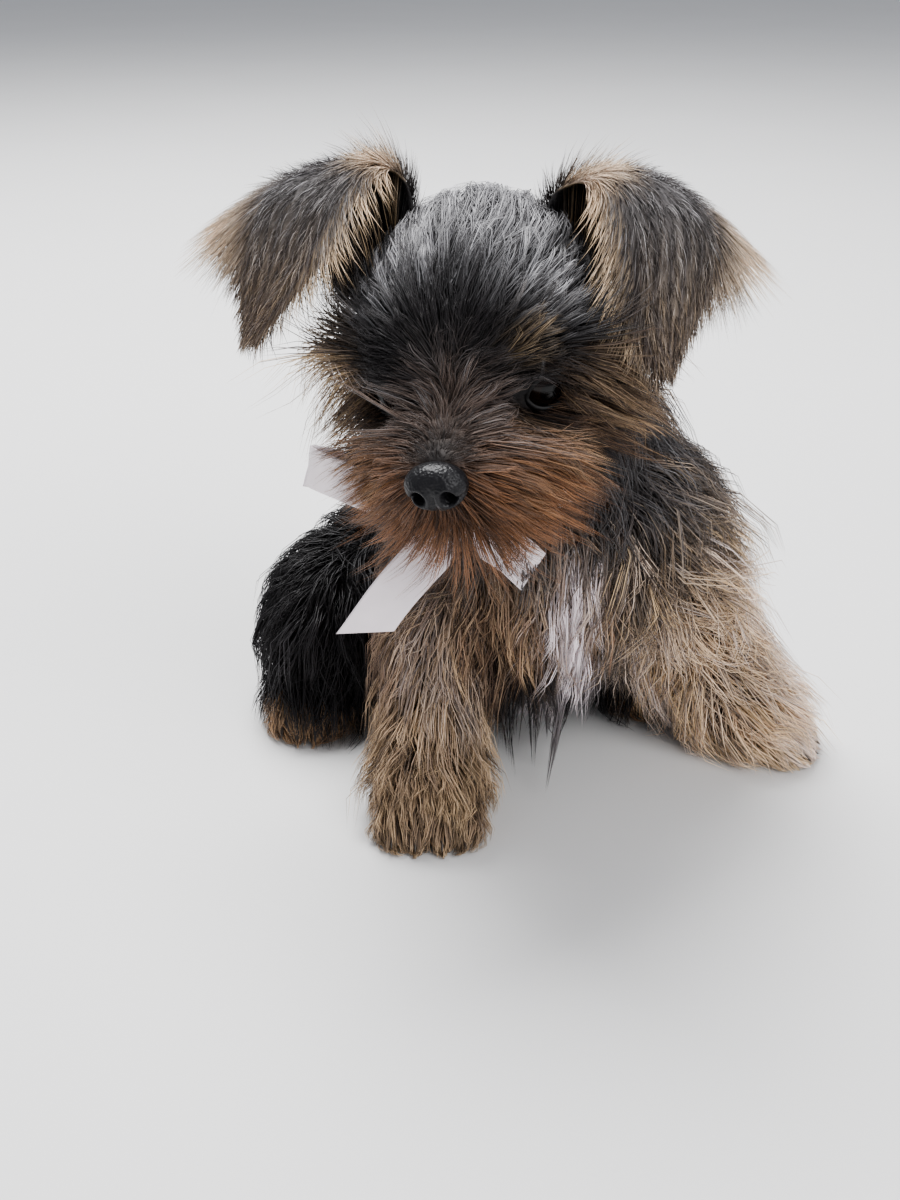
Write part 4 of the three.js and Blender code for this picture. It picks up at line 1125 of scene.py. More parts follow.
def sample_roots(amount, rng):
    """Roots spread over the skin by the coat's density, with the coat's values there."""
    points, faces = skin_surface()
    weights = form_weights(points)[0]
    density = coat_values(points, weights)[:, DENSITY] * amount
    triangles = np.vstack([faces[:, [0, 1, 2]], faces[:, [0, 2, 3]]])
    a, b, c = (points[triangles[:, k]] for k in range(3))
    area = 0.5 * np.linalg.norm(np.cross(b - a, c - a), axis=1)
    lowest = np.minimum(np.minimum(a[:, 2], b[:, 2]), c[:, 2])
    expected = area * density[triangles].mean(axis=1) * (lowest > 0.6)
    total = np.cumsum(expected)
    spots = (np.arange(int(total[-1])) + rng.uniform(size=int(total[-1]))) * (total[-1] / int(total[-1]))
    chosen = np.minimum(np.searchsorted(total, spots), len(total) - 1)
    first, second = rng.uniform(size=(2, len(chosen)))
    over = first + second > 1
    first[over] = 1 - first[over]
    second[over] = 1 - second[over]
    place = (
        a[chosen] * (1 - first - second)[:, None] + b[chosen] * first[:, None] + c[chosen] * second[:, None]
    )
    return settle(place, skin_field(), 1)


# In front of each eye: how far ahead of it, and how much wider the open place is there
EYE_VIEW = ((5.5, 0), (8.5, 0.3), (11.5, 0.6), (15, 0.8))
NOSE_CLEAR = np.array([6.7, 5.4, 5.2])  # half sizes of the open place round the nose
SHORTENINGS = 4
SHORTER = 0.68


def clear_of_face(path, limit):
    """Which strands stay clear of the open places in front of the eyes and the nose."""
    clear = np.ones(len(path), bool)
    ahead = HEAD_TURN @ np.array([0, -1.0, 0.25])
    for side in (1, -1):
        gaze = unit(eye_aim(side) + 0.9 * ahead)
        for reach, wider in EYE_VIEW:
            middle = eye_place(side) + gaze * reach
            away = np.linalg.norm(path[:, 1:] - middle, axis=2)
            clear &= away.min(axis=1) > limit + wider
    nose = on_head(0, NOSE_PLACE["forward"] + 1.5, NOSE_PLACE["up"] + 0.3)
    local = (path[:, 1:] - nose) @ HEAD_TURN / NOSE_CLEAR
    clear &= np.linalg.norm(local, axis=2).min(axis=1) > 1
    return clear


def shorten_to_clear(path, on_face, limit):
    """Shortens the strands of the face that cross its open places, and says which are clear."""
    clear = ~on_face | clear_of_face(path, limit)
    for _ in range(SHORTENINGS):
        crossing = np.flatnonzero(~clear)
        path[crossing] = path[crossing, :1] + SHORTER * (path[crossing] - path[crossing, :1])
        clear[crossing] = clear_of_face(path[crossing], limit[crossing])
    return clear


def band_frame(rows):
    """Places round the neck band, the direction of its width and the outward directions."""
    angle = np.linspace(0, 2 * math.pi, rows)[:-1]
    fore = BAND_FORE * np.sin(angle)
    middle = BAND_CENTRE + np.stack([BAND_SIDE * np.cos(angle), fore, fore * BAND_SLOPE], axis=1)
    wide = np.tile(unit(np.array([0, -BAND_SLOPE, 1.0])), (len(middle), 1))
    out = unit(np.cross(np.roll(middle, -1, axis=0) - np.roll(middle, 1, axis=0), wide))
    return middle, wide, out


def ribbon_frames():
    """Places along each loop and tail of the ribbon with its width and outward directions."""
    for lines, across in ((LOOP_LINES, LOOP_ACROSS), (TAIL_LINES, TAIL_ACROSS)):
        for side in lines:
            middle = curve_through(lines[side], 24)
            along = unit(np.gradient(middle, axis=0))
            wide = np.array(across[side], float)
            wide = unit(wide - dot(along, wide) * along)
            out = np.cross(along, wide)
            out[out[:, 1] > 0] *= -1
            yield middle, wide, out


def clear_of_ribbon(path, frames, over, margin=1):
    """Moves strands off lengths of ribbon: under them, or over them and a margin where over is true."""
    reach_over = RIBBON_WIDTH / 2 + np.where(over, margin, 1)
    for middle, wide, out in frames:
        low = middle.min(axis=0) - RIBBON_REACH - margin
        high = middle.max(axis=0) + RIBBON_REACH + margin
        near = np.all((path.max(axis=1) > low) & (path.min(axis=1) < high), axis=1)
        if not near.any():
            continue
        part = path[near]
        for k in range(1, part.shape[1]):
            offset = part[:, k, None, :] - middle[None]
            nearest = np.argmin(np.sum(offset**2, axis=2), axis=1)
            offset = offset[np.arange(len(part)), nearest]
            across = np.abs(dot(offset, wide[nearest])[:, 0])
            height = dot(offset, out[nearest])[:, 0]
            reach = np.linalg.norm(offset, axis=1)
            beside = (across < reach_over[near]) & (reach < RIBBON_REACH + margin)
            outward = np.maximum(RIBBON_CLEAR - height, 0)
            inward = np.maximum(RIBBON_CLEAR + height, 0)
            push = np.where(over[near], outward, -inward)
            part[:, k] += np.where(beside, push, 0)[:, None] * out[nearest]
        path[near] = part
    return path


def grow_paths(roots, values, guides, rng):
    """The paths of strands that walk over the skin along the lie of the coat."""
    field = skin_field()
    length, depth, lift, cling = (values[:, k] for k in (LENGTH, DEPTH, LIFT, CLING))
    hang = values[:, HANG, None]
    count = len(roots)
    layer = rng.uniform(0.12, 1, count) ** 0.8
    tuft = rng.normal(size=count)[guides]
    loose = np.clip(length / 18, 0.6, 1.5)
    swing = np.radians((TUFT_SWING * tuft + STRAND_SWING * rng.normal(size=count)) * loose)
    bend = np.radians(TUFT_BEND * rng.normal(size=count)[guides] + STRAND_BEND * rng.normal(size=count))
    calm = 1 - 0.7 * np.clip(blaze_at(roots), 0, 1)
    swing *= calm
    bend *= calm
    wave = np.radians(values[:, WAVE] * rng.normal(size=count)[guides])
    rise = np.radians(lift * rng.uniform(0.4, 1.5, count))
    long = length * rng.uniform(0.7, 1.15, count) * (1 + 0.15 * rng.normal(size=count)[guides])
    out = field.outward(roots)
    path = np.empty((count, len(STRAND_STEPS) + 1, 3))
    path[:, 0] = roots - ROOT_SINK * out
    here = roots.copy()
    for k, step in enumerate(STRAND_STEPS):
        normal = field.outward(here)
        lie = lie_of_coat(here)
        outward = dot(lie, normal)
        lie = unit(lie - np.where(outward > 0, outward * (1 - hang), outward) * normal)
        lie = turned(lie, normal, swing + bend * (k - 1) + wave * (-1) ** k)
        rising = rise * (1.3 - 0.5 * k)
        way = np.cos(rising)[:, None] * lie + np.sin(rising)[:, None] * normal
        ahead = here + (step * long)[:, None] * way
        ahead[:, 2] -= 0.05 * step * long * k
        gap = depth * layer * STRAND_HEIGHTS[k] - field.distance(ahead)
        push = np.where(gap > 0, gap, gap * cling)
        here = ahead + push[:, None] * field.outward(ahead)
        here[:, 2] = np.maximum(here[:, 2], FLOOR_CLEAR + 0.6 * layer)
        path[:, k + 1] = here
    pull = np.linspace(0, 1, path.shape[1])[None, :, None] ** 1.2
    gather = rng.uniform(*GATHER, count)[guides]
    gather = (gather * calm + GATHER_BLAZE * (1 - calm))[:, None, None]
    path += pull * gather * (path[guides] - path)
    path[:, 1:, 2] = np.maximum(path[:, 1:, 2], FLOOR_CLEAR)
    return path, out, layer


HEAD_PIECES = ["crown", "face", "muzzle"]
BODY_PIECES = ["neck", "chest", "back"]
LEG_PIECES = ["foreleg_right", "foreleg_left", "hind_right", "hind_left"]
PIECES = HEAD_PIECES + BODY_PIECES + LEG_PIECES


def piece_of(points, main):
    """The coat piece that each root belongs to, from its main form."""
    number = {piece: index for index, piece in enumerate(PIECES)}
    _, forward, up = head_places(points)
    above = np.where((up > 2) & (forward < 18), number["crown"], number["face"])
    kinds = {
        "head": np.where(forward > 27, number["muzzle"], above),
        "torso": np.where(points[:, 1] < 8, number["chest"], number["back"]),
        "jaw": number["muzzle"],
        "neck": number["neck"],
        "tail": number["back"],
    }
    found = np.empty(len(points), int)
    for index, name in enumerate(forms()):
        if name not in kinds:
            limb = "foreleg" if name.startswith(("foreleg", "paw")) else "hind"
            side = "right" if name.endswith("right") else "left"
            kinds[name] = number[f"{limb}_{side}"]
        found = np.where(main == index, kinds[name], found)
    return found


def bake_places(points, main, nearest, in_piece):
    """Where each root lies on an unwrap of the skin: round its form and along it."""
    places = np.empty((len(points), 2))
    names = list(forms())
    for piece in np.unique(in_piece):
        own = in_piece == piece
        kinds = np.unique(main[own])
        for column, kind in enumerate(kinds):
            chosen = own & (main == kind)
            limb = forms()[names[kind]]
            sample = nearest[kind][chosen]
            offset = dot(points[chosen] - limb.centres[sample], limb.along[sample])[:, 0]
            spacing = np.linalg.norm(limb.centres[-1] - limb.centres[0]) / SAMPLES
            run = (sample + 0.5 + np.clip(offset / spacing, -0.5, 0.5)) / SAMPLES
            around = limb.around(points[chosen], sample) / (2 * math.pi) + 0.5
            places[chosen, 0] = (column + 0.02 + 0.96 * around) / len(kinds)
            places[chosen, 1] = 0.01 + 0.98 * run
    return places


def veil_ribbon(path, roots, guides, on_face, rng):
    """Lays the beard and some tufts over the bow, and the hair from above over the band."""
    chosen = rng.uniform(size=len(roots))[guides] < 0.7
    veil = (roots[:, 0] > VEIL_FROM) & chosen
    path = clear_of_ribbon(path, ribbon_frames(), on_face | veil)
    band = band_frame(BAND_SAMPLES)
    above = (roots - BAND_CENTRE) @ band[1][0] > 1
    chosen = rng.uniform(size=len(roots))[guides] < 0.95
    return clear_of_ribbon(path, [band], above & chosen, BAND_MARGIN)


def varied_markings(masks, guides, rng):
    """The markings, varied from tuft to tuft and from strand to strand."""
    count = len(masks)
    black_hair = rng.uniform(size=count) < 0.27
    masks[:, TAUPE : WHEAT + 1] *= np.where(black_hair, 0.3, 1)[:, None]
    masks[:, SILVER] *= 0.15 + rng.uniform(size=count)[guides] + 0.5 * rng.uniform(size=count)
    masks[:, RUST] *= 0.5 + rng.uniform(size=count)[guides]
    white_tuft = rng.uniform(size=count)[guides] < 0.8
    masks[:, WHITE] *= np.where(white_tuft, 1.15, 0.15)
    return np.clip(masks, 0, 1)


@functools.lru_cache(maxsize=None)
def whole_coat():
    """The strands of every piece of coat that grows from the skin."""
    settings = bpy.context.scene.puppy_coat
    rng = np.random.default_rng(settings.seed)
    roots = sample_roots(settings.amount, rng)
    weights, nearest = form_weights(roots)
    values = coat_values(roots, weights)
    values[:, LENGTH] *= settings.length
    main = np.argmax(weights, axis=0)
    guides = guides_of(roots, TUFT_SHARE, rng)
    path, out, layer = grow_paths(roots, values, guides, rng)
    on_face = main < 2
    brow = head_places(roots)[2] > -2
    clear = shorten_to_clear(path, on_face, np.where(brow, 3.0, 4.0))
    path = veil_ribbon(path, roots, guides, on_face, rng)
    masks = varied_markings(markings(roots, weights), guides, rng)
    shade = 0.5 + 0.16 * rng.normal(size=len(roots))[guides] + 0.13 * rng.normal(size=len(roots))
    # Painted shade: strands that lie lower in the coat, under the others, are darker
    shade = np.clip(shade, 0, 1) * (0.75 + 0.25 * layer)
    in_piece = piece_of(roots, main)
    places = bake_places(roots, main, nearest, in_piece)
    width = values[:, WIDTH] * settings.width * rng.uniform(0.8, 1.2, len(roots))
    made = {}
    for index, name in enumerate(PIECES):
        strands = Strands()
        least = 0
        for most, kept in STRAND_PLACES.items():
            own = clear & (in_piece == index) & (values[:, LENGTH] >= least) & (values[:, LENGTH] < most)
            strands.add(path[own][:, kept], width[own], out[own], masks[own], shade[own], places[own])
            least = most
        made[name] = strands
    return made


EAR_HAIRS = {0: 4600, 1: 1600}  # on its outside and on its inside
EAR_HAIR_WIDTH = 0.22


def ear_strands(side, inner, number, rng):
    """Paths of the hair on one face of an ear, running to its rim and tip."""
    ear = ears()[side]
    amount = bpy.context.scene.puppy_coat.amount
    count = int(number * amount)
    across = rng.uniform(-1, 1, count)
    across = np.sign(across) * np.abs(across) ** 0.8
    along = rng.uniform(0, 1, count) ** 0.9 * 0.97
    corner = rng.uniform(size=count) < 0.1
    across = np.where(corner, 1 - 0.3 * rng.uniform(size=count), across)
    along = np.where(corner, 0.6 + 0.07 * rng.normal(size=count), along)
    point, out, down, wide = ear.frame(across, along)
    out = out * (ear.outside if inner == 0 else -ear.outside)
    fringe = ease(0.5, 1, np.abs(across))
    tuft = bump_at(along - 0.6, 0.14) * ease(0.5, 0.95, across)
    crest = bump_at(along - 0.24, 0.1) * ease(0.4, -0.3, across)
    front = ease(-0.45, -0.95, across) * ease(0.3, 0.5, along)
    near_tip = ease(0.62, 1, along)
    wild = rng.uniform(size=count) ** 3
    length = 6.5 + 2 * fringe + 9.5 * tuft + 4 * front + 8 * crest * wild
    length *= (1 - 0.55 * near_tip) * rng.uniform(0.7, 1.15, count)
    spread = across * (0.15 + 0.4 * fringe + 0.9 * tuft + 0.5 * front) * (1 - 0.5 * near_tip)
    spread += 0.16 * rng.normal(size=count)
    lie = unit(down * (1 - 0.25 * fringe - 0.3 * tuft)[:, None] + wide * spread[:, None])
    if inner:
        cavity = ease(0.7, 0.45, along)
        hanging = np.outer(cavity, [0, 0, -1.2]) + out * (0.3 * cavity)[:, None]
        lie = unit(lie * (1 - cavity)[:, None] + hanging - wide * (0.3 * cavity)[:, None])
        length += 9 * cavity
    depth = 1.3 * rng.uniform(0.15, 1, count)
    lift = rng.uniform(0.05, 0.35, count) + 2.5 * crest * wild
    bend = 0.12 * rng.normal(size=count) * length
    path = np.empty((count, 4, 3))
    path[:, 0] = point
    for k, reach in enumerate((0.3, 0.65, 1.0)):
        high = EAR_THICKNESS / 2 * (1 - fringe) + depth * (0.5, 0.9, 0.9)[k] + lift * reach
        path[:, k + 1] = point + lie * (reach * length)[:, None] + out * high[:, None]
        path[:, k + 1] += wide * (bend * reach * reach)[:, None]
        path[:, k + 1, 2] -= 0.07 * length * reach * reach
    masks = ear_markings(across, along, np.full(count, float(inner)))
    masks[:, SILVER] *= 1.5 * rng.uniform(0, 1, count) ** 1.3
    masks[:, WHEAT : WHITE + 1] *= rng.uniform(0.35, 1.15, (count, 1))
    masks = np.clip(masks, 0, 1)
    shade = np.clip(0.5 + 0.22 * rng.normal(size=count), 0, 1)
    column = (0 if side == "left" else 2) + inner
    place = np.stack([(column + 0.05 + 0.9 * (across + 1) / 2) / 4, 0.01 + 0.98 * along], axis=1)
    return path, np.full(count, EAR_HAIR_WIDTH), out, masks, shade, place


# Materials


def make_group(name, inputs, outputs):
    """An empty shader node group with named inputs and outputs."""
    group = bpy.data.node_groups.new(name, "ShaderNodeTree")
    for label, kind, value in inputs:
        socket = group.interface.new_socket(label, in_out="INPUT", socket_type=kind)
        socket.default_value = value
    for label, kind in outputs:
        group.interface.new_socket(label, in_out="OUTPUT", socket_type=kind)
    return group, group.nodes.new("NodeGroupInput"), group.nodes.new("NodeGroupOutput")


def mix_colours(tree, first, second, share):
    """A node that mixes two colours by a share. Each may be a socket or a value."""
    node = tree.nodes.new("ShaderNodeMix")
    node.data_type = "RGBA"
    for socket, value in ((node.inputs[0], share), (node.inputs[6], first), (node.inputs[7], second)):
        if isinstance(value, bpy.types.NodeSocket):
            tree.links.new(value, socket)
        else:
            socket.default_value = value
    return node.outputs[2]


def reckon(tree, operation, *values):
    """A math node. Each value may be a socket or a number."""
    node = tree.nodes.new("ShaderNodeMath")
    node.operation = operation
    for socket, value in zip(node.inputs, values):
        if isinstance(value, bpy.types.NodeSocket):
            tree.links.new(value, socket)
        else:
            socket.default_value = value
    return node.outputs[0]


def stored(tree, name):
    """The three numbers stored under a name, as sockets."""
    node = tree.nodes.new("ShaderNodeAttribute")
    node.attribute_name = name
    parts = tree.nodes.new("ShaderNodeSeparateXYZ")
    tree.links.new(node.outputs["Vector"], parts.inputs[0])
    return parts.outputs


def noise_value(tree, scale, detail=3, stretch=(1, 1, 1)):
    """A noise pattern in the piece's own space."""
    place = tree.nodes.new("ShaderNodeTexCoord")
    mapping = tree.nodes.new("ShaderNodeMapping")
    mapping.inputs["Scale"].default_value = stretch
    pattern = tree.nodes.new("ShaderNodeTexNoise")
    pattern.inputs["Scale"].default_value = scale
    pattern.inputs["Detail"].default_value = detail
    tree.links.new(place.outputs["Object"], mapping.inputs[0])
    tree.links.new(mapping.outputs[0], pattern.inputs["Vector"])
    return pattern.outputs["Fac"]


COAT_COLOURS = ("Coal", "Silver", "Taupe", "Rust", "Wheat", "White", "Deep")


@functools.lru_cache(maxsize=None)
def coat_colour_group():
    """The coat's colour from its markings, with darker roots and lighter tips."""
    inputs = [(name, "NodeSocketColor", (0.5, 0.5, 0.5, 1)) for name in COAT_COLOURS]
    group, given, result = make_group("coat_colour", inputs, [("Color", "NodeSocketColor")])
    dark = stored(group, "marks_dark")
    pale = stored(group, "marks_pale")
    strand = stored(group, "strand")
    light = reckon(group, "MULTIPLY_ADD", strand[1], 0.5, strand[0])
    silvered = reckon(group, "MULTIPLY", dark[0], reckon(group, "MULTIPLY", light, 1.1))
    colour = mix_colours(group, given.outputs["Coal"], given.outputs["Silver"], silvered)
    for name, mask in (("Taupe", dark[1]), ("Rust", dark[2])):
        colour = mix_colours(group, colour, given.outputs[name], mask)
    golden = reckon(group, "MULTIPLY", pale[0], reckon(group, "MULTIPLY_ADD", strand[1], 0.8, 0.6))
    colour = mix_colours(group, colour, given.outputs["Wheat"], golden)
    colour = mix_colours(group, colour, given.outputs["White"], pale[1])
    colour = mix_colours(group, colour, given.outputs["Deep"], pale[2])
    bright = reckon(group, "MULTIPLY_ADD", light, 1.3, 0.22)
    scaled = group.nodes.new("ShaderNodeVectorMath")
    scaled.operation = "SCALE"
    group.links.new(colour, scaled.inputs[0])
    group.links.new(bright, scaled.inputs["Scale"])
    group.links.new(scaled.outputs[0], result.inputs["Color"])
    return group


def new_material(name, roughness):
    """A material with its node tree and its shader."""
    material = bpy.data.materials.new(name)
    material.use_nodes = True
    shader = material.node_tree.nodes["Principled BSDF"]
    shader.inputs["Roughness"].default_value = roughness
    return material, material.node_tree, shader


def place_coat_colour(tree, shader):
    """Puts the coat's colour into a material, with the colours that the user set."""
    colours = bpy.context.scene.puppy_colours
    node = tree.nodes.new("ShaderNodeGroup")
    node.node_tree = coat_colour_group()
    for name in COAT_COLOURS:
        node.inputs[name].default_value = (*getattr(colours, name.lower()), 1)
    tree.links.new(node.outputs["Color"], shader.inputs["Base Color"])


def add_bump(tree, shader, height, strength, distance):
    """Feeds a height into the shader's normal."""
    bump = tree.nodes.new("ShaderNodeBump")
    bump.inputs["Strength"].default_value = strength
    bump.inputs["Distance"].default_value = distance
    tree.links.new(height, bump.inputs["Height"])
    tree.links.new(bump.outputs["Normal"], shader.inputs["Normal"])


@functools.lru_cache(maxsize=None)
def coat_material():
    """Silky hair."""
    material, tree, shader = new_material("coat", 0.46)
    shader.inputs["Specular IOR Level"].default_value = 0.38
    place_coat_colour(tree, shader)
    return material


@functools.lru_cache(maxsize=None)
def skin_material():
    """Skin with the coat's markings and its shortest hair as a fine bump."""
    material, tree, shader = new_material("skin", 0.7)
    place_coat_colour(tree, shader)
    add_bump(tree, shader, noise_value(tree, 900, 4), 0.6, 0.0004)
    return material


@functools.lru_cache(maxsize=None)
def lid_material():
    """The dark bare rim of the lids."""
    material, tree, shader = new_material("eyelid", 0.6)
    shade = noise_value(tree, 600)
    colour = mix_colours(tree, (0.003, 0.003, 0.003, 1), (0.01, 0.008, 0.008, 1), shade)
    tree.links.new(colour, shader.inputs["Base Color"])
    add_bump(tree, shader, noise_value(tree, 1400), 0.4, 0.0002)
    return material


@functools.lru_cache(maxsize=None)
def eye_material():
    """Dark brown iris round a black pupil, wet all over."""
    material, tree, shader = new_material("eye", 0.05)
    shader.inputs["IOR"].default_value = 1.38
    parts = stored(tree, "iris")
    streaks = noise_value(tree, 1500)
    iris = tree.nodes.new("ShaderNodeMapRange")
    iris.inputs["From Min"].default_value = 0.34
    iris.inputs["From Max"].default_value = 0.42
    tree.links.new(parts[0], iris.inputs["Value"])
    brown = mix_colours(tree, (0.006, 0.003, 0.002, 1), (0.015, 0.007, 0.004, 1), streaks)
    colour = mix_colours(tree, (0.002, 0.002, 0.002, 1), brown, iris.outputs[0])
    rim = tree.nodes.new("ShaderNodeMapRange")
    rim.inputs["From Min"].default_value = 0.92
    rim.inputs["From Max"].default_value = 1.05
    tree.links.new(parts[0], rim.inputs["Value"])
    whole = mix_colours(tree, colour, (0.012, 0.01, 0.01, 1), rim.outputs[0])
    tree.links.new(whole, shader.inputs["Base Color"])
    return material


@functools.lru_cache(maxsize=None)
def nose_material():
    """Moist black nose leather with fine cobbles."""
    material, tree, shader = new_material("nose_leather", 0.4)
    shader.inputs["Specular IOR Level"].default_value = 0.35
    cells = tree.nodes.new("ShaderNodeTexVoronoi")
    cells.feature = "SMOOTH_F1"
    cells.inputs["Scale"].default_value = 1900
    place = tree.nodes.new("ShaderNodeTexCoord")
    tree.links.new(place.outputs["Object"], cells.inputs["Vector"])
    shade = noise_value(tree, 500)
    colour = mix_colours(tree, (0.004, 0.004, 0.005, 1), (0.014, 0.013, 0.015, 1), shade)
    tree.links.new(colour, shader.inputs["Base Color"])
    rough = reckon(tree, "MULTIPLY_ADD", shade, 0.25, 0.27)
    tree.links.new(rough, shader.inputs["Roughness"])
    add_bump(tree, shader, cells.outputs["Distance"], 0.55, 0.0003)
    return material


@functools.lru_cache(maxsize=None)
def claw_material():
    """Dark horn with paler patches."""
    material, tree, shader = new_material("claw", 0.35)
    shade = noise_value(tree, 300, 2, (1, 1, 3))
    colour = mix_colours(tree, (0.012, 0.009, 0.008, 1), (0.09, 0.07, 0.055, 1), shade)
    tree.links.new(colour, shader.inputs["Base Color"])
    add_bump(tree, shader, noise_value(tree, 2500), 0.3, 0.0001)
    return material


@functools.lru_cache(maxsize=None)
def ribbon_material():
    """Pale satin with a fine weave across its length."""
    colours = bpy.context.scene.puppy_colours
    material, tree, shader = new_material("satin", 0.34)
    shader.inputs["Sheen Weight"].default_value = 0.3
    shader.inputs["Sheen Roughness"].default_value = 0.3
    threads = tree.nodes.new("ShaderNodeTexWave")
    threads.inputs["Scale"].default_value = 1200
    threads.inputs["Distortion"].default_value = 1.5
    place = stored_vector(tree, "weave")
    tree.links.new(place, threads.inputs["Vector"])
    pale = (*colours.ribbon, 1)
    shadow = (*[0.82 * part for part in colours.ribbon], 1)
    shade = reckon(tree, "MULTIPLY", noise_value(tree, 160), 0.8)
    tree.links.new(mix_colours(tree, pale, shadow, shade), shader.inputs["Base Color"])
    add_bump(tree, shader, threads.outputs["Fac"], 0.25, 0.0001)
    return material


def stored_vector(tree, name):
    """The vector stored under a name, as one socket."""
    node = tree.nodes.new("ShaderNodeAttribute")
    node.attribute_name = name
    return node.outputs["Vector"]


# Pieces


def ear_shell(side):
    """The points and triangles of one ear's thin closed body, and its markings."""
    rows, columns = 34, 17
    across, along = np.meshgrid(np.linspace(-1, 1, columns), np.linspace(0.0, 0.97, rows))
    across, along = across.ravel(), along.ravel()
    point, out, _, _ = ears()[side].frame(across, along)
    thick = EAR_THICKNESS / 2 * (1 - 0.7 * across**4)[:, None]
    upper = (point + out * thick).reshape(rows, columns, 3)
    lower = (point - out * thick).reshape(rows, columns, 3)[:, ::-1]
    rings = np.concatenate([upper, lower], axis=1)
    faces_in = np.append(np.zeros(columns), np.ones(columns))
    inner = np.tile(faces_in if ears()[side].outside > 0 else 1 - faces_in, rows)
    both = np.concatenate([across.reshape(rows, columns), across.reshape(rows, columns)[:, ::-1]], axis=1)
    masks = ear_markings(both.ravel(), np.repeat(along.reshape(rows, columns)[:, 0], 2 * columns), inner)
    return rings.reshape(-1, 3), tube_faces(rows, 2 * columns), masks


def lid_ring(side):
    """An almond-shaped rim of both lids of one eye, lying on the eyeball."""
    around, section = 48, 10
    angle = np.linspace(0, 2 * math.pi, around, endpoint=False)
    high = np.abs(np.sin(angle)) ** 1.25 * np.sign(np.sin(angle))
    local = np.stack([LID_OPENING[0] * np.cos(angle), LID_OPENING[1] * high], axis=1)
    aim, sideways, upward = lid_axes(side)
    reach = np.sqrt(np.maximum((LID_RADIUS - 0.5) ** 2 - np.sum(local**2, axis=1), 1))
    middle = local[:, :1] * sideways + local[:, 1:] * upward + reach[:, None] * aim
    outward = unit(middle)
    along = unit(np.roll(middle, -1, axis=0) - np.roll(middle, 1, axis=0))
    broad = np.cross(along, outward)
    turn_by = np.linspace(0, 2 * math.pi, section, endpoint=False)
    rings = []
    for a in turn_by:
        rings.append(middle + 0.6 * math.cos(a) * broad + 0.5 * math.sin(a) * outward)
    points = eye_place(side) + np.stack(rings, axis=1)
    quads = grid_faces(around + 1, section, closed=True) % (around * section)
    return points.reshape(-1, 3), quads


def ribbon_strip(line, across, share_at, slant, rows=60, columns=21):
    """A length of ribbon with pleats where it is gathered: points, triangles, weave places, size."""
    middle = curve_through(line, rows)
    along = unit(np.gradient(middle, axis=0))
    wide = np.array(across, float)
    wide = unit(wide - dot(along, wide) * along)
    out = np.cross(along, wide)
    place = np.linspace(-1, 1, columns)
    run = np.linspace(0, 1, rows)
    share = share_at(run)
    steep = np.sqrt(np.maximum(1 / share**2 - 1, 0)) * 1.3
    height = steep * share * RIBBON_WIDTH / (2 * math.pi * PLEATS)
    pleat = height[:, None] * np.sin(PLEATS * math.pi * place)[None]
    surface = (
        middle[:, None]
        + wide[:, None] * (share[:, None] * place[None] * RIBBON_WIDTH / 2)[..., None]
        + out[:, None] * pleat[..., None]
        + along[:, None] * (slant * ease(0.7, 1, run)[:, None] * place[None])[..., None]
    )
    normal = unit(np.cross(np.gradient(surface, axis=0), np.gradient(surface, axis=1)))
    half = RIBBON_THICKNESS / 2
    rings = np.concatenate([surface - normal * half, (surface + normal * half)[:, ::-1]], axis=1)
    weave = np.zeros((rows, 2 * columns, 3))
    lengths = np.append(0, np.cumsum(np.linalg.norm(np.diff(middle, axis=0), axis=1)))
    weave[..., 0] = lengths[:, None] / 1000
    weave[..., 1] = np.append(place, place[::-1])[None] * RIBBON_WIDTH / 2000
    return rings.reshape(-1, 3), tube_faces(rows, 2 * columns), weave.reshape(-1, 3), lengths[-1]


def band_points(rows=BAND_SAMPLES, columns=9):
    """The band round the neck: points, four-sided faces, weave places and length."""
    angle = np.linspace(0, 2 * math.pi, rows)[:-1]
    middle, wide, out = band_frame(rows)
    place = np.linspace(-1, 1, columns)
    flat = middle[:, None] + wide[:, None] * (place * RIBBON_WIDTH / 2)[None, :, None]
    half = RIBBON_THICKNESS / 2
    rings = np.concatenate([flat + half * out[:, None], (flat - half * out[:, None])[:, ::-1]], axis=1)
    quads = grid_faces(rows, 2 * columns, closed=True) % ((rows - 1) * 2 * columns)
    length = np.sum(np.linalg.norm(np.roll(middle, -1, axis=0) - middle, axis=1))
    weave = np.zeros((rows - 1, 2 * columns, 3))
    weave[..., 0] = (angle / (2 * math.pi) * length / 1000)[:, None]
    weave[..., 1] = np.append(place, place[::-1])[None] * RIBBON_WIDTH / 2000
    return rings.reshape(-1, 3), quads[:, ::-1], weave.reshape(-1, 3), length


def make_skin():
    """One skin over the whole body, with both ears and the rims of the lids."""
    points, faces = skin_surface()
    weights = form_weights(points)[0]
    piece = new_piece("skin", points, faces, skin_material())
    strand = np.tile([0.3, 0.2, 0.0], (len(points), 1))
    keep_markings(piece, markings(points, weights), strand)
    nodes = ["head", "jaw", *FORM_STATIONS]
    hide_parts(*nodes)
    for side in ears():
        shell, triangles, masks = ear_shell(side)
        ear = new_piece(f"ear_{side}", shell, triangles, skin_material())
        keep_markings(ear, masks, np.tile([0.35, 0.3, 0.0], (len(shell), 1)))
        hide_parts(f"ear_{side}_base", f"ear_{side}_flap")
    for side, name in ((1, "left"), (-1, "right")):
        ring, quads = lid_ring(side)
        new_piece(f"eyelids_{name}", ring, quads, lid_material())


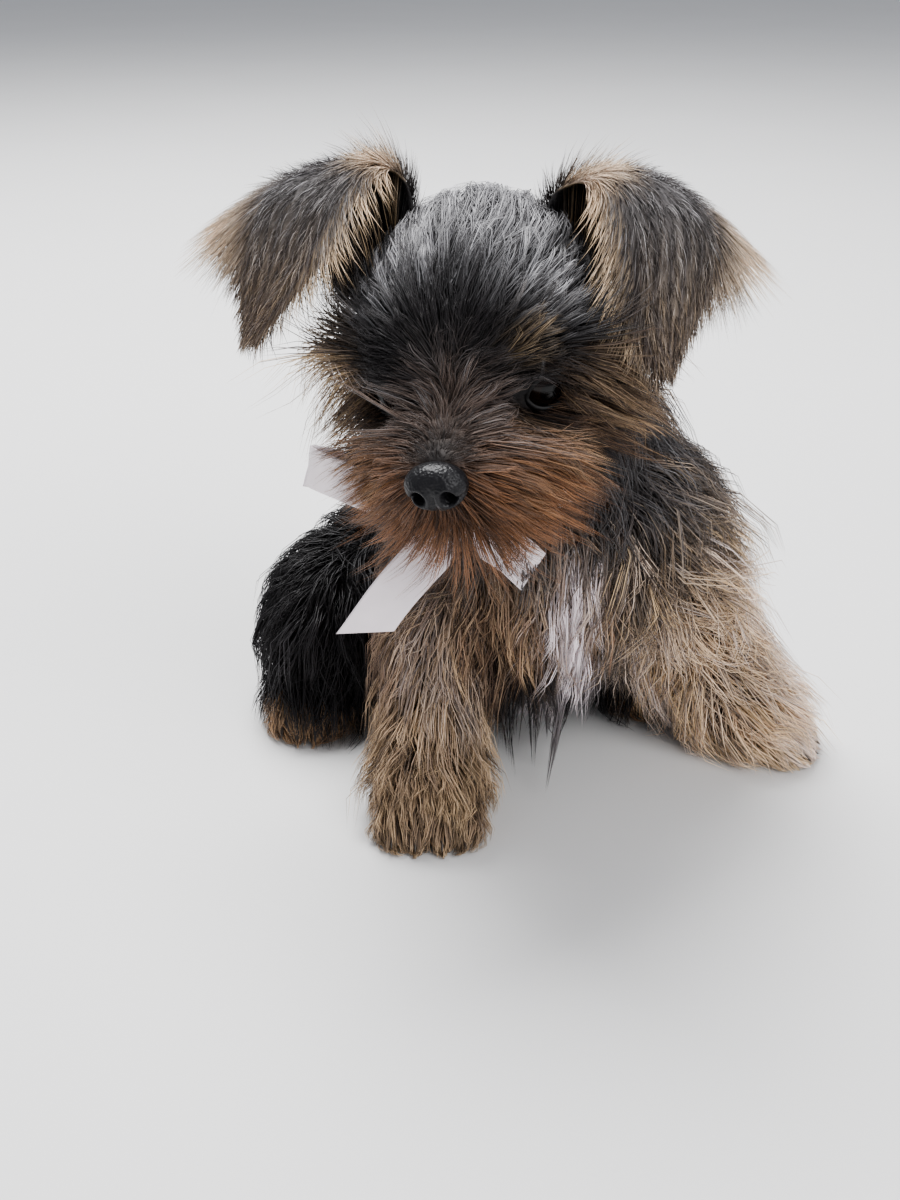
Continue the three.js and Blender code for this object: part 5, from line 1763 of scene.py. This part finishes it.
def make_eyes():
    """Two eyeballs with a low cornea."""
    directions, triangles = ball_grid(36, 56)
    for side, name in ((1, "left"), (-1, "right")):
        aim = eye_aim(side)
        facing = directions @ aim
        from_axis = np.arccos(np.clip(facing, -1, 1)) / math.radians(46)
        bulge = 1 + 0.035 * bump_at(from_axis, 0.8)
        points = eye_place(side) + directions * (EYE_RADIUS * 0.985 * bulge)[:, None]
        piece = new_piece(f"eyeball_{name}", points, triangles, eye_material())
        keep_values(piece, "iris", np.stack([from_axis, facing, facing], axis=1))
        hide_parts(f"eye_{name}")


def make_nose():
    """The nose pad with its nostrils and the groove between them."""
    directions, triangles = ball_grid(72, 96)
    half = np.array(NOSE_HALF)
    local = directions * half
    side, front, up = local[:, 0], -directions[:, 1], local[:, 2]
    local[:, 0] *= 1 + 0.1 * up / half[2]
    local[:, 1] *= 1 - 0.08 * np.maximum(front, 0) ** 3
    for way in (1, -1):
        hole = np.hypot((side - way * 2.9) / 1.25, (up + 0.5) / 1.5)
        slit = np.hypot((side - way * 4.3) / 1.7, (up + 1.1) / 0.65)
        depth = 2.6 * np.exp(-(hole**4)) + 1.5 * np.exp(-(slit**2))
        wing = 0.35 * bump_at(hole - 1.5, 0.5)
        local[:, 1] += (depth - wing) * (front > 0)
    groove = 0.7 * bump_at(side, 0.45) * ease(1.5, -1, up)
    local[:, 1] += groove * (front > 0)
    centre = on_head(0, NOSE_PLACE["forward"], NOSE_PLACE["up"])
    piece = new_piece("nose_pad", centre + local @ HEAD_TURN.T, triangles, nose_material())
    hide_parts("nose")


def make_claws():
    """A curved claw on every toe."""
    rows, sides = 7, 10
    for name in PAWS:
        middles, aim = toe_centres(name)
        side = unit(np.cross(aim, UP))
        parts, faces = [], []
        for index, middle in enumerate(middles):
            run = np.linspace(0, 1, rows)
            base = middle + aim * TOE_RADIUS * 0.55 + np.array([0, 0, 0.6])
            line = base + aim * (run * CLAW_LENGTH)[:, None]
            line[:, 2] -= 1.9 * run**1.8
            radius = CLAW_RADIUS * (1 - run**1.6) + 0.08
            angle = np.linspace(0, 2 * math.pi, sides, endpoint=False)
            ring = side * np.cos(angle)[:, None] * 0.8 + np.array([0, 0, 1]) * np.sin(angle)[:, None]
            points = line[:, None] + radius[:, None, None] * ring[None]
            parts.append(points.reshape(-1, 3))
            faces.append(tube_faces(rows, sides) + index * rows * sides)
        points = np.concatenate(parts)
        points[:, 2] = np.maximum(points[:, 2], 0.3)
        new_piece(f"claws_{name}", points, np.concatenate(faces), claw_material())


def make_ribbon():
    """The band, the knot, two loops and two tails of satin ribbon."""
    points, quads, weave, length = band_points()
    band = new_piece("neck_band", points, quads, ribbon_material())
    keep_values(band, "weave", weave)
    directions, triangles = ball_grid(28, 44)
    folds = 1 + 0.05 * np.sin(directions[:, 0] * 9 + directions[:, 2] * 2)
    knot_points = KNOT_CENTRE + directions * np.array(KNOT_HALF) * folds[:, None]
    knot = new_piece("bow_knot", knot_points, triangles, ribbon_material())
    keep_values(knot, "weave", directions * 0.005)
    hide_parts("ribbon_knot")
    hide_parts("ribbon_band")
    shares = {
        "loop": lambda t: np.minimum(1, RIBBON_GATHERED + 3 * np.minimum(t, 1 - t)),
        "tail": lambda t: np.minimum(1, RIBBON_GATHERED + 1.8 * t),
    }
    for kind, lines, across in (("loop", LOOP_LINES, LOOP_ACROSS), ("tail", TAIL_LINES, TAIL_ACROSS)):
        for side, line in lines.items():
            slant = TAIL_SLANT[side] if kind == "tail" else 0
            points, triangles, weave, length = ribbon_strip(line, across[side], shares[kind], slant)
            piece = new_piece(f"bow_{kind}_{side}", points, triangles, ribbon_material())
            keep_values(piece, "weave", weave)
            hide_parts(f"ribbon_{kind}_{side}")


def make_coat(names):
    """Coat pieces by name."""
    for name in names:
        whole_coat()[name].piece(f"coat_{name}")


def make_ear_coat():
    """The hair on both ears."""
    rng = np.random.default_rng(bpy.context.scene.puppy_coat.seed + 1)
    for side in ears():
        strands = Strands()
        for inner, number in EAR_HAIRS.items():
            strands.add(*ear_strands(side, inner, number, rng))
        strands.piece(f"coat_ear_{side}")


# The stage

FLOOR_HALF = 6.0  # metres from its middle to its edge
LIGHT_AIM = (0, 0, 0.08)
CAMERA_PLACE = [0, -300, 200]


def area_light(name, place, aim, size, power, colour=(1, 1, 1)):
    """A soft square light that looks at a place."""
    light = bpy.data.lights.new(name, "AREA")
    light.size = size
    light.energy = power
    light.color = colour
    lamp = bpy.data.objects.new(name, light)
    lamp.location = place
    lamp.rotation_euler = (Vector(aim) - Vector(place)).to_track_quat("-Z", "Y").to_euler()
    bpy.context.scene.collection.objects.link(lamp)


def make_floor():
    """A wide pale floor."""
    material, tree, shader = new_material("floor", 0.75)
    pale, soft = (0.74, 0.735, 0.73, 1), (0.7, 0.695, 0.69, 1)
    tree.links.new(mix_colours(tree, pale, soft, noise_value(tree, 6)), shader.inputs["Base Color"])
    mesh = bpy.data.meshes.new("floor")
    corners = [(x * FLOOR_HALF, y * FLOOR_HALF, 0) for x, y in ((-1, -1), (1, -1), (1, 1), (-1, 1))]
    mesh.from_pydata(corners, [], [(0, 1, 2, 3)])
    mesh.materials.append(material)
    floor = bpy.data.objects.new("floor", mesh)
    bpy.context.scene.collection.objects.link(floor)
    floor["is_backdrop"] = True


def make_stage():
    """The floor, the lights and the camera."""
    settings = bpy.context.scene.puppy_stage
    make_floor()
    area_light("window", (-0.25, 0.45, 1.15), LIGHT_AIM, 0.8, 28 * settings.light)
    area_light("front_fill", (0.75, -0.85, 0.95), LIGHT_AIM, 1.0, 14.5 * settings.light)
    bpy.context.scene.view_settings.look = "AgX - Medium High Contrast"
    world = bpy.data.worlds.new("studio")
    world.use_nodes = True
    world.node_tree.nodes["Background"].inputs["Color"].default_value = (0.9, 0.93, 1, 1)
    world.node_tree.nodes["Background"].inputs["Strength"].default_value = 0.46
    bpy.context.scene.world = world
    camera = bpy.data.cameras.new("camera")
    camera.lens = settings.lens
    camera.sensor_fit = "VERTICAL"
    camera.sensor_height = 36
    eye = bpy.data.objects.new("camera", camera)
    eye.location = to_model(CAMERA_PLACE)
    eye.rotation_euler = (math.radians(90 - settings.tilt), 0, 0)
    bpy.context.scene.collection.objects.link(eye)
    bpy.context.scene.camera = eye


# Settings, operators and the panel


def colour_property(name, description, default):
    """A colour that the user may change."""
    return FloatVectorProperty(
        name=name, description=description, default=default, min=0, max=1, size=3, subtype="COLOR"
    )


class PuppyCoat(bpy.types.PropertyGroup):
    """How the coat grows."""

    amount: FloatProperty(
        name="Amount", description="Share of the full number of strands", default=1, min=0.05, max=1.1
    )
    length: FloatProperty(
        name="Length", description="Length of the hair, as a share", default=1, min=0.3, max=1.1
    )
    width: FloatProperty(
        name="Width", description="Width of the strands, as a share", default=1, min=0.3, max=2.5
    )
    seed: IntProperty(name="Seed", description="Where the random numbers start", default=11, min=0)


class PuppyColours(bpy.types.PropertyGroup):
    """The colours of the coat and the ribbon."""

    coal: colour_property("Coal", "The black of the body", (0.021, 0.018, 0.019))
    # Silver also paints a highlight on the crown, the neck and the top of the back
    silver: colour_property("Silver", "The grey of the crown", (0.35, 0.345, 0.355))
    taupe: colour_property("Taupe", "The brown of the legs and face", (0.2, 0.138, 0.105))
    rust: colour_property("Rust", "The tan of the muzzle", (0.33, 0.163, 0.083))
    wheat: colour_property("Wheat", "The gold of the fringes", (0.8, 0.585, 0.35))
    white: colour_property("White", "The blaze on the chest", (0.85, 0.77, 0.79))
    # Deep also paints shade: under the nose, along the mouth, round the ear roots and inside the ears
    deep: colour_property("Deep", "The darkest hair round the eyes", (0.006, 0.005, 0.006))
    ribbon: colour_property("Ribbon", "The satin ribbon", (0.95, 0.86, 0.89))


class PuppyStage(bpy.types.PropertyGroup):
    """The camera and the lights."""

    lens: FloatProperty(name="Lens", description="Focal length in millimetres", default=40, min=10, max=200)
    tilt: FloatProperty(
        name="Tilt", description="How far the camera looks down, in degrees", default=28, min=0, max=80
    )
    light: FloatProperty(name="Light", description="Strength of the studio lights", default=1, min=0, max=5)


class PUPPY_OT_skin(bpy.types.Operator):
    """Make the skin, the ears and the lids."""

    bl_idname = "puppy.skin"
    bl_label = "Skin"

    def execute(self, context):
        make_skin()
        return {"FINISHED"}


class PUPPY_OT_eyes(bpy.types.Operator):
    """Make both eyes."""

    bl_idname = "puppy.eyes"
    bl_label = "Eyes"

    def execute(self, context):
        make_eyes()
        return {"FINISHED"}


class PUPPY_OT_nose(bpy.types.Operator):
    """Make the nose."""

    bl_idname = "puppy.nose"
    bl_label = "Nose"

    def execute(self, context):
        make_nose()
        return {"FINISHED"}


class PUPPY_OT_claws(bpy.types.Operator):
    """Make the claws."""

    bl_idname = "puppy.claws"
    bl_label = "Claws"

    def execute(self, context):
        make_claws()
        return {"FINISHED"}


class PUPPY_OT_ribbon(bpy.types.Operator):
    """Make the ribbon and its bow."""

    bl_idname = "puppy.ribbon"
    bl_label = "Ribbon"

    def execute(self, context):
        make_ribbon()
        return {"FINISHED"}


class PUPPY_OT_coat_head(bpy.types.Operator):
    """Grow the coat of the head and the ears."""

    bl_idname = "puppy.coat_head"
    bl_label = "Coat of the head"

    def execute(self, context):
        make_coat(HEAD_PIECES)
        make_ear_coat()
        return {"FINISHED"}


class PUPPY_OT_coat_body(bpy.types.Operator):
    """Grow the coat of the neck and the trunk."""

    bl_idname = "puppy.coat_body"
    bl_label = "Coat of the body"

    def execute(self, context):
        make_coat(BODY_PIECES)
        return {"FINISHED"}


class PUPPY_OT_coat_legs(bpy.types.Operator):
    """Grow the coat of the legs and feet."""

    bl_idname = "puppy.coat_legs"
    bl_label = "Coat of the legs"

    def execute(self, context):
        make_coat(LEG_PIECES)
        return {"FINISHED"}


class PUPPY_OT_stage(bpy.types.Operator):
    """Set up the floor, the lights and the camera."""

    bl_idname = "puppy.stage"
    bl_label = "Stage"

    def execute(self, context):
        make_stage()
        return {"FINISHED"}


STEPS = ("stage", "skin", "eyes", "nose", "claws", "ribbon", "coat_head", "coat_body", "coat_legs")


class PUPPY_PT_panel(bpy.types.Panel):
    """The puppy's settings and steps."""

    bl_label = "Puppy"
    bl_space_type = "VIEW_3D"
    bl_region_type = "UI"
    bl_category = "Puppy"

    def draw(self, context):
        scene = context.scene
        for group in (scene.puppy_coat, scene.puppy_colours, scene.puppy_stage):
            box = self.layout.box()
            for name in group.__annotations__:
                box.prop(group, name)
        for step in STEPS:
            self.layout.operator(f"puppy.{step}")


CLASSES = (
    PuppyCoat,
    PuppyColours,
    PuppyStage,
    PUPPY_OT_skin,
    PUPPY_OT_eyes,
    PUPPY_OT_nose,
    PUPPY_OT_claws,
    PUPPY_OT_ribbon,
    PUPPY_OT_coat_head,
    PUPPY_OT_coat_body,
    PUPPY_OT_coat_legs,
    PUPPY_OT_stage,
    PUPPY_PT_panel,
)


def register():
    """Registers the classes and their settings."""
    for made in CLASSES:
        bpy.utils.register_class(made)
    bpy.types.Scene.puppy_coat = PointerProperty(type=PuppyCoat)
    bpy.types.Scene.puppy_colours = PointerProperty(type=PuppyColours)
    bpy.types.Scene.puppy_stage = PointerProperty(type=PuppyStage)


def unregister():
    """Takes the settings and classes away again."""
    del bpy.types.Scene.puppy_stage
    del bpy.types.Scene.puppy_colours
    del bpy.types.Scene.puppy_coat
    for made in reversed(CLASSES):
        bpy.utils.unregister_class(made)


def main():
    """Makes everything in order."""
    register()
    for step in STEPS:
        getattr(bpy.ops.puppy, step)()
    sizes = {"solids": SOLID_BOX, "looks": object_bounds()}
    plain = {name: [[float(part) for part in corner] for corner in box] for name, box in sizes.items()}


if __name__ == "__main__":
    main()
